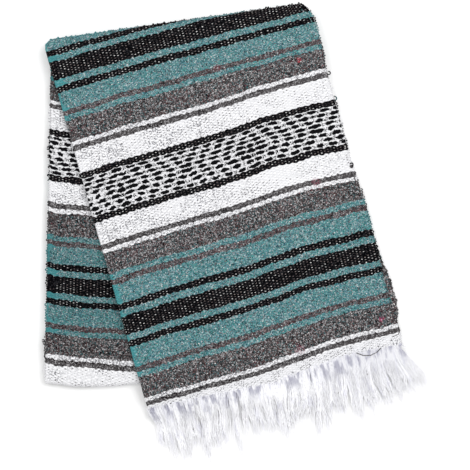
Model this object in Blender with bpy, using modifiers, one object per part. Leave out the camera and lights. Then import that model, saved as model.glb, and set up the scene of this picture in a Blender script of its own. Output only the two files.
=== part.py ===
"""A striped, fringed serape blanket, folded in three, turned over askew and lying flat."""

import math
from collections import namedtuple

import bmesh
import bpy
from mathutils import Matrix, Vector

# Cloth, in metres: the wall, the gap between pieces, and the pitch of the hidden layers
CLOTH = 0.0026
GAP = 0.0003
LAYER_PITCH = 0.00266
LAYERS_BELOW = 5
LAYERS_UNDER_TURN = 3
LIP_INSET = 0.0012
LIP_SHARE = 0.28
STRIP_CORNER = 0.006

# Heights of the strip below and of the flap on it
INNER_FLAP = 0.0054
RIPPLE = 0.0006
PILE_TOP = LAYERS_BELOW * LAYER_PITCH + GAP + CLOTH
FLAP_BASE = PILE_TOP + GAP
FLAP_RISE = INNER_FLAP + GAP + CLOTH
TOP_TURN = (FLAP_BASE + FLAP_RISE - LAYERS_UNDER_TURN * LAYER_PITCH - GAP) / 2
LOW_TURN = PILE_TOP / 2

# Corners in plan, +X to the right and +Y towards the turned end
FLAP_CREST_LEFT = Vector((-0.2993, 0.3007))
FLAP_CREST_RIGHT = Vector((0.1132, 0.3593))
FLAP_END_LEFT = Vector((-0.1372, -0.2744))
FLAP_END_RIGHT = Vector((0.2573, -0.1721))
PILE_CREST_LEFT = Vector((-0.2885, 0.3022))
PILE_CREST_RIGHT = Vector((0.1124, 0.3592))
PILE_LOW_LEFT = Vector((-0.2972, -0.2330))
PILE_LOW_RIGHT = Vector((0.1116, -0.2341))

# The flap eases down past the strip's edges over this run, starting this far out
EASE_START = 0.005
EASE_RUN = 0.052

# The flap's grid, finer towards its right side and its woven end, where it leaves the strip
WIDE_SPANS = 6
WIDE_SHARE = 0.54
FINE_SPANS = 12
END_SPANS = 5
END_SHARE = 0.13
LONG_SPANS = 13
TURN_SPANS = 8
INNER_END = 0.005
EDGE_BAND = 0.005

# Room left between the flap's cloth and its inner layers where they slope
SLOPE_SLACK = 0.006

# The hairpin along the flap's left edge, and the selvedge layer that lies under it
HAIRPIN_RADIUS = 0.0030
HAIRPIN_RETURN = 0.012
HAIRPIN_PAST = 0.0136
LEDGE_TOP = 0.0020
LEDGE_IN = 0.0014
LEDGE_ROUND = 0.0007
RISER_IN = 0.0126

# The rounded fold of the two inner layers along the flap's right side
NOSE_DEPTH = 0.0022
NOSE_STEPS = 4

# The strip's upper layer: a full width along the lower turn, and an arm up the left side
ARM_SHARE = 0.5
LOW_ZONE = 0.060
LOW_RETURN = 0.003
CREST_ROOM = 0.008
ARM_SPANS = 7
REST_SPANS = 4
ZONE_SPANS = 2
ARM_LONG_SPANS = 10

# The block that joins the strip's hidden layers to the flap's, clear of the upper layer's arm
BLOCK_ROOM = 0.0025
BLOCK_OVERLAP = 0.0015
BLOCK_RIGHT = 0.94
BLOCK_CREST = 0.98

# The bar of inner layers inside the turn, clear of the hairpin and of the pulled-in corner
BAR_LEFT = 0.024
BAR_RIGHT = 0.016
BAR_SIDES = 16

# Fringe
STRAND_RADIUS = 0.0018
STRAND_TIP = 0.0012
STRAND_POINTS = 7
STRAND_WAVE = 0.0016
STRAND_SHORTEST = 0.83
STRAND_FALL = 0.45
ROOT_SPREAD = 0.0056
SPREAD_FULL = 0.6
PATH_STEPS = 12
KNOT_WIDTH = 0.012
KNOT_HEIGHT = 0.0060
KNOT_DROP = 0.0010
KNOT_GAP = 0.0004
ROOT_TIER = 0.0009
FLOOR_CLEARANCE = 0.0004

# How far the flap's woven end bulges out, by share of its width
Bulge = namedtuple("Bulge", "across out")
END_BULGES = (
    Bulge(0.00, 0.000),
    Bulge(0.18, 0.001),
    Bulge(0.30, 0.003),
    Bulge(0.41, 0.006),
    Bulge(0.49, 0.008),
    Bulge(0.55, 0.004),
    Bulge(0.69, -0.001),
    Bulge(0.78, -0.004),
    Bulge(0.90, -0.001),
    Bulge(0.95, 0.002),
    Bulge(1.00, 0.000),
)

# The flap's right side, by share of its length from the woven end: selvedge and inner fold
Side = namedtuple("Side", "along selvedge fold")
RIGHT_SIDE = (
    Side(0.00, 0.0000, -0.0040),
    Side(0.05, 0.0020, 0.0015),
    Side(0.12, 0.0035, 0.0075),
    Side(0.20, 0.0020, 0.0085),
    Side(0.28, 0.0010, 0.0035),
    Side(0.40, 0.0030, -0.0005),
    Side(0.55, -0.0010, -0.0030),
    Side(0.75, -0.0005, -0.0025),
    Side(0.90, 0.0015, -0.0010),
    Side(1.00, 0.0000, -0.0020),
)

# How far the turned corners pull in, by distance below the crest
Corner = namedtuple("Corner", "below left right")
CORNERS = (
    Corner(0.000, 0.0100, 0.0120),
    Corner(0.003, 0.0060, 0.0095),
    Corner(0.008, 0.0015, 0.0055),
    Corner(0.016, 0.0000, 0.0020),
    Corner(0.026, 0.0000, 0.0000),
)

# The strip's lower turn, by share of its width: how far it sags out
LOW_BULGES = (
    Bulge(0.00, 0.000),
    Bulge(0.14, 0.005),
    Bulge(0.25, 0.004),
    Bulge(0.36, 0.000),
    Bulge(0.70, 0.001),
    Bulge(1.00, 0.000),
)

# Hidden layers of the strip, from the floor up: how far each edge lies out from the strip's own
Layer = namedtuple("Layer", "left right crest")
HIDDEN = (
    Layer(-0.0010, -0.0030, -0.0060),
    Layer(-0.0035, -0.0010, -0.0045),
    Layer(0.0006, -0.0040, -0.0080),
    Layer(-0.0020, -0.0015, -0.0086),
    Layer(-0.0008, -0.0035, -0.0086),
)

# Bunches of warp ends, left to right: root by share of the width, direction at root and tip
# in degrees from straight down, length, width at the tip and number of strands
Tassel = namedtuple("Tassel", "across lean end reach width strands")
TASSELS = (
    Tassel(0.030, 26, 6, 0.071, 0.013, 6),
    Tassel(0.088, 12, 15, 0.091, 0.015, 7),
    Tassel(0.145, 14, 8, 0.079, 0.012, 6),
    Tassel(0.226, 4, 10, 0.097, 0.012, 6),
    Tassel(0.277, 4, 3, 0.082, 0.010, 5),
    Tassel(0.327, 9, 8, 0.103, 0.005, 3),
    Tassel(0.368, 16, 10, 0.072, 0.010, 5),
    Tassel(0.407, 13, 13, 0.079, 0.009, 5),
    Tassel(0.450, 9, 27, 0.078, 0.010, 5),
    Tassel(0.511, 6, 15, 0.098, 0.011, 6),
    Tassel(0.562, 12, -3, 0.076, 0.010, 5),
    Tassel(0.608, 7, 4, 0.076, 0.010, 5),
    Tassel(0.655, 12, 12, 0.108, 0.010, 5),
    Tassel(0.709, 10, 12, 0.087, 0.011, 6),
    Tassel(0.757, 10, 10, 0.091, 0.012, 6),
    Tassel(0.807, 11, 18, 0.103, 0.013, 7),
    Tassel(0.857, 12, 25, 0.093, 0.013, 6),
    Tassel(0.907, 15, 24, 0.092, 0.014, 6),
    Tassel(0.960, 33, 46, 0.081, 0.018, 7),
)

BLACK = (0.022, 0.022, 0.024, 1.0)
TEAL = (0.095, 0.285, 0.290, 1.0)
WHITE = (0.800, 0.800, 0.840, 1.0)


def read_table(rows, at, column):
    """A column's value between two rows, eased so that it has no corner."""
    if at <= rows[0][0]:
        return getattr(rows[0], column)
    for low, high in zip(rows, rows[1:]):
        if at <= high[0]:
            share = (at - low[0]) / (high[0] - low[0])
            share = share * share * (3 - 2 * share)
            return getattr(low, column) * (1 - share) + getattr(high, column) * share
    return getattr(rows[-1], column)


def ease(share):
    """Nought to one with level ends."""
    share = min(max(share, 0.0), 1.0)
    return share * share * (3 - 2 * share)


def outward(start, end):
    """The unit normal on the left hand of a line in plan."""
    along = (end - start).normalized()
    return Vector((-along.y, along.x))


CREST_WEFT = (FLAP_CREST_RIGHT - FLAP_CREST_LEFT).normalized()
END_WEFT = (FLAP_END_RIGHT - FLAP_END_LEFT).normalized()
CREST_OUT = outward(FLAP_CREST_LEFT, FLAP_CREST_RIGHT)
END_OUT = -outward(FLAP_END_LEFT, FLAP_END_RIGHT)
FLAP_RIGHTWARDS = outward(FLAP_CREST_RIGHT, FLAP_END_RIGHT)
PILE_RIGHTWARDS = outward(PILE_CREST_RIGHT, PILE_LOW_RIGHT)
PILE_DOWNWARDS = outward(PILE_LOW_RIGHT, PILE_LOW_LEFT)
PILE_LENGTH = (PILE_CREST_LEFT - PILE_LOW_LEFT).length
FLAP_WIDTH = (FLAP_CREST_RIGHT - FLAP_CREST_LEFT).length
FLAP_LENGTH = (FLAP_CREST_LEFT - FLAP_END_LEFT).length


def drape(x, y):
    """Height of what lies under the flap: the strip, easing to the floor past its edges."""
    point = Vector((x, y))
    right = (point - PILE_CREST_RIGHT).dot(PILE_RIGHTWARDS)
    below = (point - PILE_LOW_RIGHT).dot(PILE_DOWNWARDS)
    past = max(right, below)
    if right > 0 and below > 0:
        past = math.hypot(right, below)
    return FLAP_BASE * (1 - ease((past - EASE_START) / EASE_RUN))


def steepness(x, y):
    """How much longer a wall's upright thickness is than its true one on the flap's slope."""
    step = 0.002
    rise_x = (drape(x + step, y) - drape(x - step, y)) / (2 * step)
    rise_y = (drape(x, y + step) - drape(x, y - step)) / (2 * step)
    return math.sqrt(1 + rise_x * rise_x + rise_y * rise_y)


def unevenness(plan, row):
    """Soft waves of the flap, never below nought, dying out towards the turn."""
    wave = math.sin(17 * plan.x + 11 * plan.y + 0.6) * math.sin(9 * plan.x - 15 * plan.y + 1.9)
    return RIPPLE * (1 + wave) * (1 - ease((row - 0.94) / 0.06))


def spans(first_spans, first_share, more_spans):
    """Shares from nought to one in two stretches of even spans."""
    first = [first_share * step / first_spans for step in range(first_spans)]
    return first + [first_share + (1 - first_share) * step / more_spans for step in range(more_spans + 1)]


FLAP_ACROSS = spans(WIDE_SPANS, WIDE_SHARE, FINE_SPANS)
FLAP_ALONG = spans(END_SPANS, END_SHARE, LONG_SPANS)


def flap_plan(across, along, inset=0.0):
    """A point of the flap in plan: along runs from the woven end to the axis of the turn."""
    bulge = read_table(END_BULGES, across, "out")
    end = FLAP_END_LEFT.lerp(FLAP_END_RIGHT, across) + END_OUT * bulge
    axis = FLAP_CREST_LEFT.lerp(FLAP_CREST_RIGHT, across) - CREST_OUT * TOP_TURN
    side = read_table(RIGHT_SIDE, along, "selvedge")
    weft = END_WEFT.lerp(CREST_WEFT, along)
    return end.lerp(axis, along) + FLAP_RIGHTWARDS * (side * across * across) + weft * inset


def corner_pull(across, below):
    """Movement along the crest where the turned corners pull in."""
    left = read_table(CORNERS, below, "left") * ease(1 - across / 0.12)
    right = read_table(CORNERS, below, "right") * ease((across - 0.88) / 0.12)
    return CREST_WEFT * (left - right)


def pulled_plan(across, inset, row):
    """A point of the flap in plan with its turned corners pulled in.

    A row of 0 to 1 runs from the woven end to the turn's axis, and 1 to 2 goes round the turn.
    """
    flat = min(row, 1.0)
    angle = math.pi * max(row - 1.0, 0.0)
    below = (1 - flat) * FLAP_LENGTH + TOP_TURN * (1 - math.sin(min(angle, math.pi / 2)))
    return flap_plan(across, flat, inset) + corner_pull(across + inset / FLAP_WIDTH, below)


def flap_point(across, inset, depth, row):
    """A point of the flap's cloth. Depth is measured in from the cloth's outer face."""
    plan = pulled_plan(across, inset, row)
    angle = math.pi * max(row - 1.0, 0.0)
    slope = steepness(plan.x, plan.y)
    top = drape(plan.x, plan.y) + INNER_FLAP + GAP + CLOTH * slope + SLOPE_SLACK * (slope - 1)
    top += unevenness(plan, row)
    if row <= 1.0:
        return Vector((plan.x, plan.y, top - depth))
    reach = TOP_TURN - depth
    plan += CREST_OUT * (reach * math.sin(angle))
    return Vector((plan.x, plan.y, top - TOP_TURN + reach * math.cos(angle)))


def finish(name, mesh, colour):
    """Link a named object with its own material."""
    piece = bpy.data.objects.new(name, mesh)
    PARTS.objects.link(piece)
    material = bpy.data.materials.new(name)
    material.use_nodes = True
    shader = material.node_tree.nodes["Principled BSDF"]
    shader.inputs["Base Color"].default_value = colour
    shader.inputs["Roughness"].default_value = 0.9
    shader.inputs["Metallic"].default_value = 0.0
    mesh.materials.clear()
    mesh.materials.append(material)
    mesh.shade_smooth()
    mesh.set_sharp_from_angle(angle=math.radians(50))
    return piece


def sheet(name, columns, rows, place, colour, keep=None):
    """A cloth wall: a grid whose points are placed by a function, given its thickness inwards.

    Where keep is given, it says by a face's middle, counted in columns and rows, which faces stay.
    """
    grid = bmesh.new()
    bmesh.ops.create_grid(grid, x_segments=len(columns) - 1, y_segments=len(rows) - 1, size=0.5)
    for point in grid.verts:
        point.co.x = (point.co.x + 0.5) * (len(columns) - 1)
        point.co.y = (point.co.y + 0.5) * (len(rows) - 1)
    if keep:
        middles = [(face, face.calc_center_median()) for face in grid.faces]
        dropped = [face for face, middle in middles if not keep(middle.x, middle.y)]
        bmesh.ops.delete(grid, geom=dropped, context="FACES")
    for point in grid.verts:
        point.co = place(columns[round(point.co.x)], rows[round(point.co.y)])
    bmesh.ops.recalc_face_normals(grid, faces=grid.faces)
    highest = max(grid.faces, key=lambda face: face.calc_center_median().z)
    if highest.normal.z < 0:
        bmesh.ops.reverse_faces(grid, faces=grid.faces)
    mesh = bpy.data.meshes.new(name)
    grid.to_mesh(mesh)
    grid.free()
    piece = finish(name, mesh, colour)
    wall = piece.modifiers.new("Wall", "SOLIDIFY")
    wall.thickness = CLOTH
    wall.offset = -1.0
    wall.use_even_offset = True
    return piece


def as_mesh(name, shape):
    """A closed shape's mesh, with its faces pointing out."""
    bmesh.ops.recalc_face_normals(shape, faces=shape.faces)
    mesh = bpy.data.meshes.new(name)
    shape.to_mesh(mesh)
    shape.free()
    return mesh


def loft(name, rings):
    """A closed solid through rings of equal count, with flat ends."""
    body = bmesh.new()
    loops = [[body.verts.new(point) for point in ring] for ring in rings]
    count = len(rings[0])
    for low, high in zip(loops, loops[1:]):
        for step in range(count):
            after = (step + 1) % count
            body.faces.new((low[step], low[after], high[after], high[step]))
    body.faces.new(loops[0])
    body.faces.new(loops[-1])
    return as_mesh(name, body)


def make_flap_cloth():
    """The turned-over stretch: hairpin at the left, flat top, and the turn at the crest."""
    columns = [(0.0, HAIRPIN_RETURN, 2 * HAIRPIN_RADIUS)]
    steps = 5
    for step in range(steps):
        angle = math.pi * (1 - step / (steps - 1)) - math.pi / 2
        inset = HAIRPIN_RADIUS * (1 - math.cos(angle))
        columns.append((0.0, inset, HAIRPIN_RADIUS * (1 + math.sin(angle))))
    columns.append((0.0, HAIRPIN_PAST, 0.0))
    columns += [(across, 0.0, 0.0) for across in FLAP_ACROSS[1:-1]]
    columns += [(1.0, -EDGE_BAND, 0.0), (1.0, 0.0, 0.0)]
    rows = [0.0, INNER_END] + FLAP_ALONG[1:] + [1 + (step + 1) / TURN_SPANS for step in range(TURN_SPANS)]
    return sheet("flap_cloth", columns, rows, lambda column, row: flap_point(*column, row), TEAL)


def pile_plan(across, along):
    """A point of the strip's upper layer in plan: along runs from its lower turn to the crest."""
    low = PILE_LOW_LEFT.lerp(PILE_LOW_RIGHT, across)
    low += PILE_DOWNWARDS * (read_table(LOW_BULGES, across, "out") - LOW_TURN)
    crest = PILE_CREST_LEFT.lerp(PILE_CREST_RIGHT, across) - CREST_OUT * (TOP_TURN + CREST_ROOM)
    return low.lerp(crest, along)


def pile_point(across, row):
    """A point of the strip's upper layer. A row of 0 to 1 is flat, and below 0 is the lower turn."""
    plan = pile_plan(across, max(row, 0.0))
    if row >= 0:
        return Vector((plan.x, plan.y, PILE_TOP))
    angle = min(-row, 1.0) * math.pi
    plan += PILE_DOWNWARDS * (LOW_TURN * math.sin(angle))
    if row < -1:
        plan -= PILE_DOWNWARDS * LOW_RETURN
    return Vector((plan.x, plan.y, LOW_TURN * (1 + math.cos(angle))))


def make_under_cloth():
    """The strip's upper layer: its arm up the left side, and its turn along the lower end."""
    columns = spans(ARM_SPANS, ARM_SHARE, REST_SPANS)
    flat = spans(ZONE_SPANS, LOW_ZONE / PILE_LENGTH, ARM_LONG_SPANS)
    turn = [-1 + step / TURN_SPANS for step in range(TURN_SPANS)]
    rows = [-1.5] + turn + flat
    zone = 1 + len(turn) + ZONE_SPANS

    def shows(column, row):
        return column < ARM_SPANS or row < zone

    return sheet("under_cloth", columns, rows, pile_point, BLACK, shows)


def strip_outline(layer, lower, inset, height):
    """One ring round the strip: a four-sided outline, each side moved in or out, with round corners."""
    shifts = (-lower, layer.right, layer.crest, layer.left)
    corners = (PILE_LOW_LEFT, PILE_LOW_RIGHT, PILE_CREST_RIGHT, PILE_CREST_LEFT)
    sides = []
    for step, corner in enumerate(corners):
        after = corners[(step + 1) % 4]
        out = -outward(corner, after)
        sides.append((corner + out * (shifts[step] - inset), (after - corner).normalized()))
    points = []
    for step, (start, way) in enumerate(sides):
        before, before_way = sides[step - 1]
        cross = before_way.cross(way)
        reach = (start - before).cross(way) / cross
        points.append(before + before_way * reach)
    ring = []
    for step, corner in enumerate(points):
        before = (points[step - 1] - corner).normalized() * STRIP_CORNER
        after_corner = points[(step + 1) % 4]
        after = (after_corner - corner).normalized() * STRIP_CORNER
        ring += [corner + before * (1 - share) ** 2 + after * share**2 for share in (0, 1 / 3, 2 / 3, 1)]
        ring += [(corner + after).lerp(after_corner - after, mark / 6) for mark in range(1, 6)]
    return [(point.x, point.y, height) for point in ring]


def lower_inset(height):
    """How far a hidden layer stays in from the strip's lower end, to lie inside the turn."""
    inner = LOW_TURN - CLOTH - GAP
    rise = height - LOW_TURN
    if abs(rise) >= inner:
        return LOW_TURN + LOW_RETURN + GAP
    return LOW_TURN - math.sqrt(inner * inner - rise * rise) + GAP


def make_strip_layers():
    """The strip's hidden layers, one over the other, each edge a rounded lip."""
    lips = ((0.0, LIP_INSET), (LIP_SHARE, 0.0), (1 - LIP_SHARE, 0.0))
    rings = []
    for number, layer in enumerate(HIDDEN):
        base = number * LAYER_PITCH
        lower = max(lower_inset(base), lower_inset(base + LAYER_PITCH))
        for share, inset in lips:
            rings.append(strip_outline(layer, lower, inset, base + share * LAYER_PITCH))
    rings.append(strip_outline(HIDDEN[-1], lower, LIP_INSET, LAYERS_BELOW * LAYER_PITCH))
    return loft("strip_layers", rings)


def make_flap_layers():
    """The flap's two inner layers: a selvedge ledge at the left and a fold at the right."""
    edge = [(LEDGE_IN + LEDGE_ROUND, 0.0), (LEDGE_IN, LEDGE_ROUND), (LEDGE_IN, LEDGE_TOP - LEDGE_ROUND)]
    edge += [(LEDGE_IN + LEDGE_ROUND, LEDGE_TOP), (RISER_IN, LEDGE_TOP), (RISER_IN, INNER_FLAP - LEDGE_ROUND)]
    left = [(0.0, inset, rise) for inset, rise in edge + [(HAIRPIN_PAST, INNER_FLAP)]]
    top = [(across, 0.0, INNER_FLAP) for across in FLAP_ACROSS[1:-1]]
    bottom = [(across, 0.0, 0.0) for across in reversed(FLAP_ACROSS[1:-1])]
    rings = []
    for row in [INNER_END] + FLAP_ALONG[1:]:
        fold = read_table(RIGHT_SIDE, row, "fold") - read_table(RIGHT_SIDE, row, "selvedge")
        nose = []
        for step in range(NOSE_STEPS + 1):
            angle = math.pi * (0.5 - step / NOSE_STEPS)
            inset = fold - NOSE_DEPTH * (1 - math.cos(angle))
            nose.append((1.0, inset, INNER_FLAP / 2 * (1 + math.sin(angle))))
        ring = []
        for across, inset, rise in left + top + nose + bottom:
            plan = pulled_plan(across, inset, row)
            lift = drape(plan.x, plan.y)
            if rise > LEDGE_TOP:
                lift += unevenness(plan, row) * ease((rise - LEDGE_TOP) / (INNER_FLAP - LEDGE_TOP))
            ring.append((plan.x, plan.y, lift + rise))
        rings.append(ring)
    return loft("flap_layers", rings)


def make_turn_filling():
    """The inner layers where they go round the turn at the crest: a round bar inside it."""
    radius = TOP_TURN - CLOTH - GAP
    height = FLAP_BASE + FLAP_RISE - TOP_TURN
    start = FLAP_CREST_LEFT + CREST_WEFT * BAR_LEFT - CREST_OUT * TOP_TURN
    end = FLAP_CREST_RIGHT - CREST_WEFT * BAR_RIGHT - CREST_OUT * TOP_TURN
    middle = start.lerp(end, 0.5)
    heading = math.atan2(CREST_WEFT.y, CREST_WEFT.x)
    turned = Matrix.Rotation(heading, 4, "Z") @ Matrix.Rotation(math.pi / 2, 4, "Y")
    bar = bmesh.new()
    bmesh.ops.create_cone(
        bar,
        cap_ends=True,
        segments=BAR_SIDES,
        radius1=radius,
        radius2=radius,
        depth=(end - start).length,
        matrix=Matrix.Translation((middle.x, middle.y, height)) @ turned,
    )
    return as_mesh("turn_filling", bar)


def make_block():
    """Where no visible cloth lies between them, the strip's layers and the flap's are one."""
    left = ARM_SHARE + BLOCK_ROOM / FLAP_WIDTH
    low = (LOW_ZONE + BLOCK_ROOM) / PILE_LENGTH
    block = bmesh.new()
    bmesh.ops.create_cube(block, size=1.0)
    for point in block.verts:
        across = BLOCK_RIGHT if point.co.x > 0 else left
        along = BLOCK_CREST if point.co.y > 0 else low
        height = FLAP_BASE + BLOCK_OVERLAP if point.co.z > 0 else PILE_TOP - CLOTH - BLOCK_OVERLAP
        plan = pile_plan(across, along)
        point.co = (plan.x, plan.y, height)
    return as_mesh("block", block)


def outer_surface(mesh):
    """The mesh's largest connected surface: any sealed hollow between joined shapes is filled."""
    shape = bmesh.new()
    shape.from_mesh(mesh)
    left = set(shape.faces)
    surfaces = []
    while left:
        surface = [left.pop()]
        for face in surface:
            near = {other for edge in face.edges for other in edge.link_faces} & left
            left -= near
            surface += near
        surfaces.append(surface)
    surfaces.sort(key=len)
    inner = [face for surface in surfaces[:-1] for face in surface]
    bmesh.ops.delete(shape, geom=inner, context="FACES")
    return as_mesh(mesh.name, shape)


def join(base, others):
    """The base with the others joined on, as one mesh."""
    joiners = bpy.data.collections.new("Joiners")
    for mesh in others:
        joiners.objects.link(bpy.data.objects.new(mesh.name, mesh))
    body = bpy.data.objects.new("body", base)
    bpy.context.scene.collection.children.link(joiners)
    bpy.context.scene.collection.objects.link(body)
    union = body.modifiers.new("Join", "BOOLEAN")
    union.operation = "UNION"
    union.operand_type = "COLLECTION"
    union.collection = joiners
    union.solver = "EXACT"
    bpy.context.view_layer.update()
    graph = bpy.context.evaluated_depsgraph_get()
    result = bpy.data.meshes.new_from_object(body.evaluated_get(graph))
    for piece in [body, *joiners.objects]:
        bpy.data.objects.remove(piece)
    bpy.data.collections.remove(joiners)
    return outer_surface(result)


def make_hidden_layers():
    """Everything that the fold hides, as one rounded solid with layered edges."""
    solid = join(make_strip_layers(), [make_flap_layers(), make_turn_filling(), make_block()])
    return finish("hidden_layers", solid, BLACK)


def strand_mesh(points, radii):
    """One strand: a bevelled curve with filled caps, made a closed mesh."""
    curve = bpy.data.curves.new("strand", "CURVE")
    curve.dimensions = "3D"
    curve.bevel_depth = 1.0
    curve.bevel_resolution = 0
    curve.use_fill_caps = True
    spline = curve.splines.new("POLY")
    spline.points.add(len(points) - 1)
    for spot, point, radius in zip(spline.points, points, radii):
        spot.co = (*point, 1.0)
        spot.radius = radius
    holder = bpy.data.objects.new("strand", curve)
    bpy.context.scene.collection.objects.link(holder)
    bpy.context.view_layer.update()
    graph = bpy.context.evaluated_depsgraph_get()
    mesh = bpy.data.meshes.new_from_object(holder.evaluated_get(graph))
    bpy.data.objects.remove(holder)
    closed = bmesh.new()
    closed.from_mesh(mesh)
    bmesh.ops.remove_doubles(closed, verts=closed.verts, dist=0.00005)
    return as_mesh("strand", closed)


def knot_mesh(centre):
    """The gathered warp ends at a bunch's root: a low round lump, squared to the woven edge."""
    lump = bmesh.new()
    bmesh.ops.create_uvsphere(lump, u_segments=8, v_segments=6, radius=0.5)
    for point in lump.verts:
        x, y, z = point.co
        plan = centre.xy + END_OUT * (x * KNOT_WIDTH) + END_WEFT * (y * KNOT_WIDTH)
        point.co = (plan.x, plan.y, centre.z + z * KNOT_HEIGHT)
    return as_mesh("knot", lump)


def tassel_way(tassel, share):
    """Direction in plan along a bunch, turning evenly from its root to its tip."""
    angle = math.radians(tassel.lean + (tassel.end - tassel.lean) * share)
    return Vector((math.sin(angle), -math.cos(angle)))


def woven_edge(across):
    """The upper edge of the wall at the flap's woven end, between two of the grid's columns."""
    after = next(number for number, column in enumerate(FLAP_ACROSS) if column > across)
    low, high = FLAP_ACROSS[after - 1], FLAP_ACROSS[after]
    share = (across - low) / (high - low)
    return flap_point(low, 0.0, 0.0, 0.0).lerp(flap_point(high, 0.0, 0.0, 0.0), share)


def tassel_spot(tassel, share):
    """Place in plan on a bunch's middle line, which starts at its knot."""
    spot = woven_edge(tassel.across).xy + END_OUT * (KNOT_GAP + KNOT_WIDTH / 2)
    for step in range(PATH_STEPS):
        middle = share * (step + 0.5) / PATH_STEPS
        spot += tassel_way(tassel, middle) * (tassel.reach * share / PATH_STEPS)
    return spot


def make_strand(number, tassel, place, upper, reach, knot_rise):
    """One strand of a bunch: out of its knot, fanning and coming down to lie on the floor."""
    tier = 2 * STRAND_RADIUS + GAP if upper else 0.0
    rest = STRAND_RADIUS + FLOOR_CLEARANCE + tier
    start = knot_rise + (ROOT_TIER if upper else -ROOT_TIER) / 2
    points = []
    radii = []
    for step in range(STRAND_POINTS):
        share = reach * step / (STRAND_POINTS - 1)
        way = tassel_way(tassel, share)
        spread = ROOT_SPREAD + (tassel.width - ROOT_SPREAD) * ease(share / SPREAD_FULL)
        wave = STRAND_WAVE * math.sin(5.5 * share + number * 1.7) * ease(share / 0.4)
        spot = tassel_spot(tassel, share) + Vector((-way.y, way.x)) * (place * spread + wave)
        rise = start + (rest - start) * ease(share / STRAND_FALL)
        points.append((spot.x, spot.y, drape(spot.x, spot.y) + rise))
        radii.append(STRAND_RADIUS + (STRAND_TIP - STRAND_RADIUS) * share)
    return strand_mesh(points, radii)


def make_tassel(number, tassel):
    """A bunch of warp ends: a knot at the woven edge and strands that spread on the floor."""
    root = tassel_spot(tassel, 0.0)
    height = woven_edge(tassel.across).z - KNOT_DROP
    knot_rise = height - drape(root.x, root.y)
    low_count = (tassel.strands + 1) // 2
    high_count = tassel.strands - low_count
    strands = []
    for strand in range(tassel.strands):
        upper = strand >= low_count
        place = strand / (low_count - 1) - 0.5
        if upper:
            place = (strand - low_count + 1) / (high_count + 1) - 0.5
        reach = 1.0 - (1.0 - STRAND_SHORTEST) * ((strand * 7 + number * 3) % 5) / 4
        strands.append(make_strand(number, tassel, place, upper, reach, knot_rise))
    knot = knot_mesh(Vector((root.x, root.y, height)))
    return finish(f"tassel_{number:02d}", join(knot, strands), WHITE)


for old in list(bpy.data.objects):
    bpy.data.objects.remove(old)
PARTS = bpy.data.collections.new("Serape")
bpy.context.scene.collection.children.link(PARTS)

make_flap_cloth()
make_under_cloth()
make_hidden_layers()
for index, row in enumerate(TASSELS, start=1):
    make_tassel(index, row)
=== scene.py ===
import math
import random
from collections import namedtuple

import bmesh
import bpy
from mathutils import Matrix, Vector, noise


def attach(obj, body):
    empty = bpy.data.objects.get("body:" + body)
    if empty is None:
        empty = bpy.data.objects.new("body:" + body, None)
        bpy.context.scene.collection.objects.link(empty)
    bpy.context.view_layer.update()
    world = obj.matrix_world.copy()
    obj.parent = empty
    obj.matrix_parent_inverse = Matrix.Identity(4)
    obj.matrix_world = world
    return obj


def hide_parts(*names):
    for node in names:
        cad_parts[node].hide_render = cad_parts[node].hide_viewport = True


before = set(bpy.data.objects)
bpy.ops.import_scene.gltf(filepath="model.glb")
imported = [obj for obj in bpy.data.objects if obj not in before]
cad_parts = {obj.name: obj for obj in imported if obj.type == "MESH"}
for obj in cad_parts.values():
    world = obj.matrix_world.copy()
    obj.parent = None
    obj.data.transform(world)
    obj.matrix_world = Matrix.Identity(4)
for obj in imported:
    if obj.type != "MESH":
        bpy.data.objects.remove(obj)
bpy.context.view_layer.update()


def table(columns, *rows):
    """Rows of values under named columns."""
    kind = namedtuple("Row", columns)
    return [kind(*row) for row in rows]


# Cloth sizes, in metres, as the solids have them
CLOTH = 0.0026
GAP = 0.0003
LAYER_PITCH = 0.00266
LAYERS_BELOW = 5
LAYERS_UNDER_TURN = 3
INNER_FLAP = 0.0054
RIPPLE = 0.0006
MM = 0.001
PILE_TOP = LAYERS_BELOW * LAYER_PITCH + GAP + CLOTH
FLAP_BASE = PILE_TOP + GAP
FLAP_RISE = INNER_FLAP + GAP + CLOTH
TOP_TURN = (FLAP_BASE + FLAP_RISE - LAYERS_UNDER_TURN * LAYER_PITCH - GAP) / 2
LOW_TURN = PILE_TOP / 2
STRIP_CORNER = 0.006

# Corners in plan
FLAP_CREST_LEFT = Vector((-0.2993, 0.3007))
FLAP_CREST_RIGHT = Vector((0.1132, 0.3593))
FLAP_END_LEFT = Vector((-0.1372, -0.2744))
FLAP_END_RIGHT = Vector((0.2573, -0.1721))
PILE_CREST_LEFT = Vector((-0.2885, 0.3022))
PILE_CREST_RIGHT = Vector((0.1124, 0.3592))
PILE_LOW_LEFT = Vector((-0.2972, -0.2330))
PILE_LOW_RIGHT = Vector((0.1116, -0.2341))

# How the flap drapes, and the folds along its sides
EASE_START = 0.005
EASE_RUN = 0.052
SLOPE_SLACK = 0.006
HAIRPIN_RADIUS = 0.0030
HAIRPIN_RETURN = 0.012
HAIRPIN_PAST = 0.0136
LEDGE_TOP = 0.0020
LEDGE_IN = 0.0014
RISER_IN = 0.0126
NOSE_DEPTH = 0.0022
ARM_SHARE = 0.5
LOW_ZONE = 0.060
LOW_RETURN = 0.003
CREST_ROOM = 0.008
CREST_ROW = 1.38
HALF_CLOTH = Vector((0, 0, CLOTH / 2))

# A hidden layer's rounded edge: how far in it lies at each share of its height
LIP = ((0.0, 0.0013), (0.12, 0.0005), (0.32, 0.0001), (0.5, 0.0), (0.68, 0.0001), (0.88, 0.0005))

# The weave: distance between warp ends, and between picks of weft
WARP_PITCH = 0.00535
PICK = 0.0021
HALF_REPEAT = 98

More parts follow.
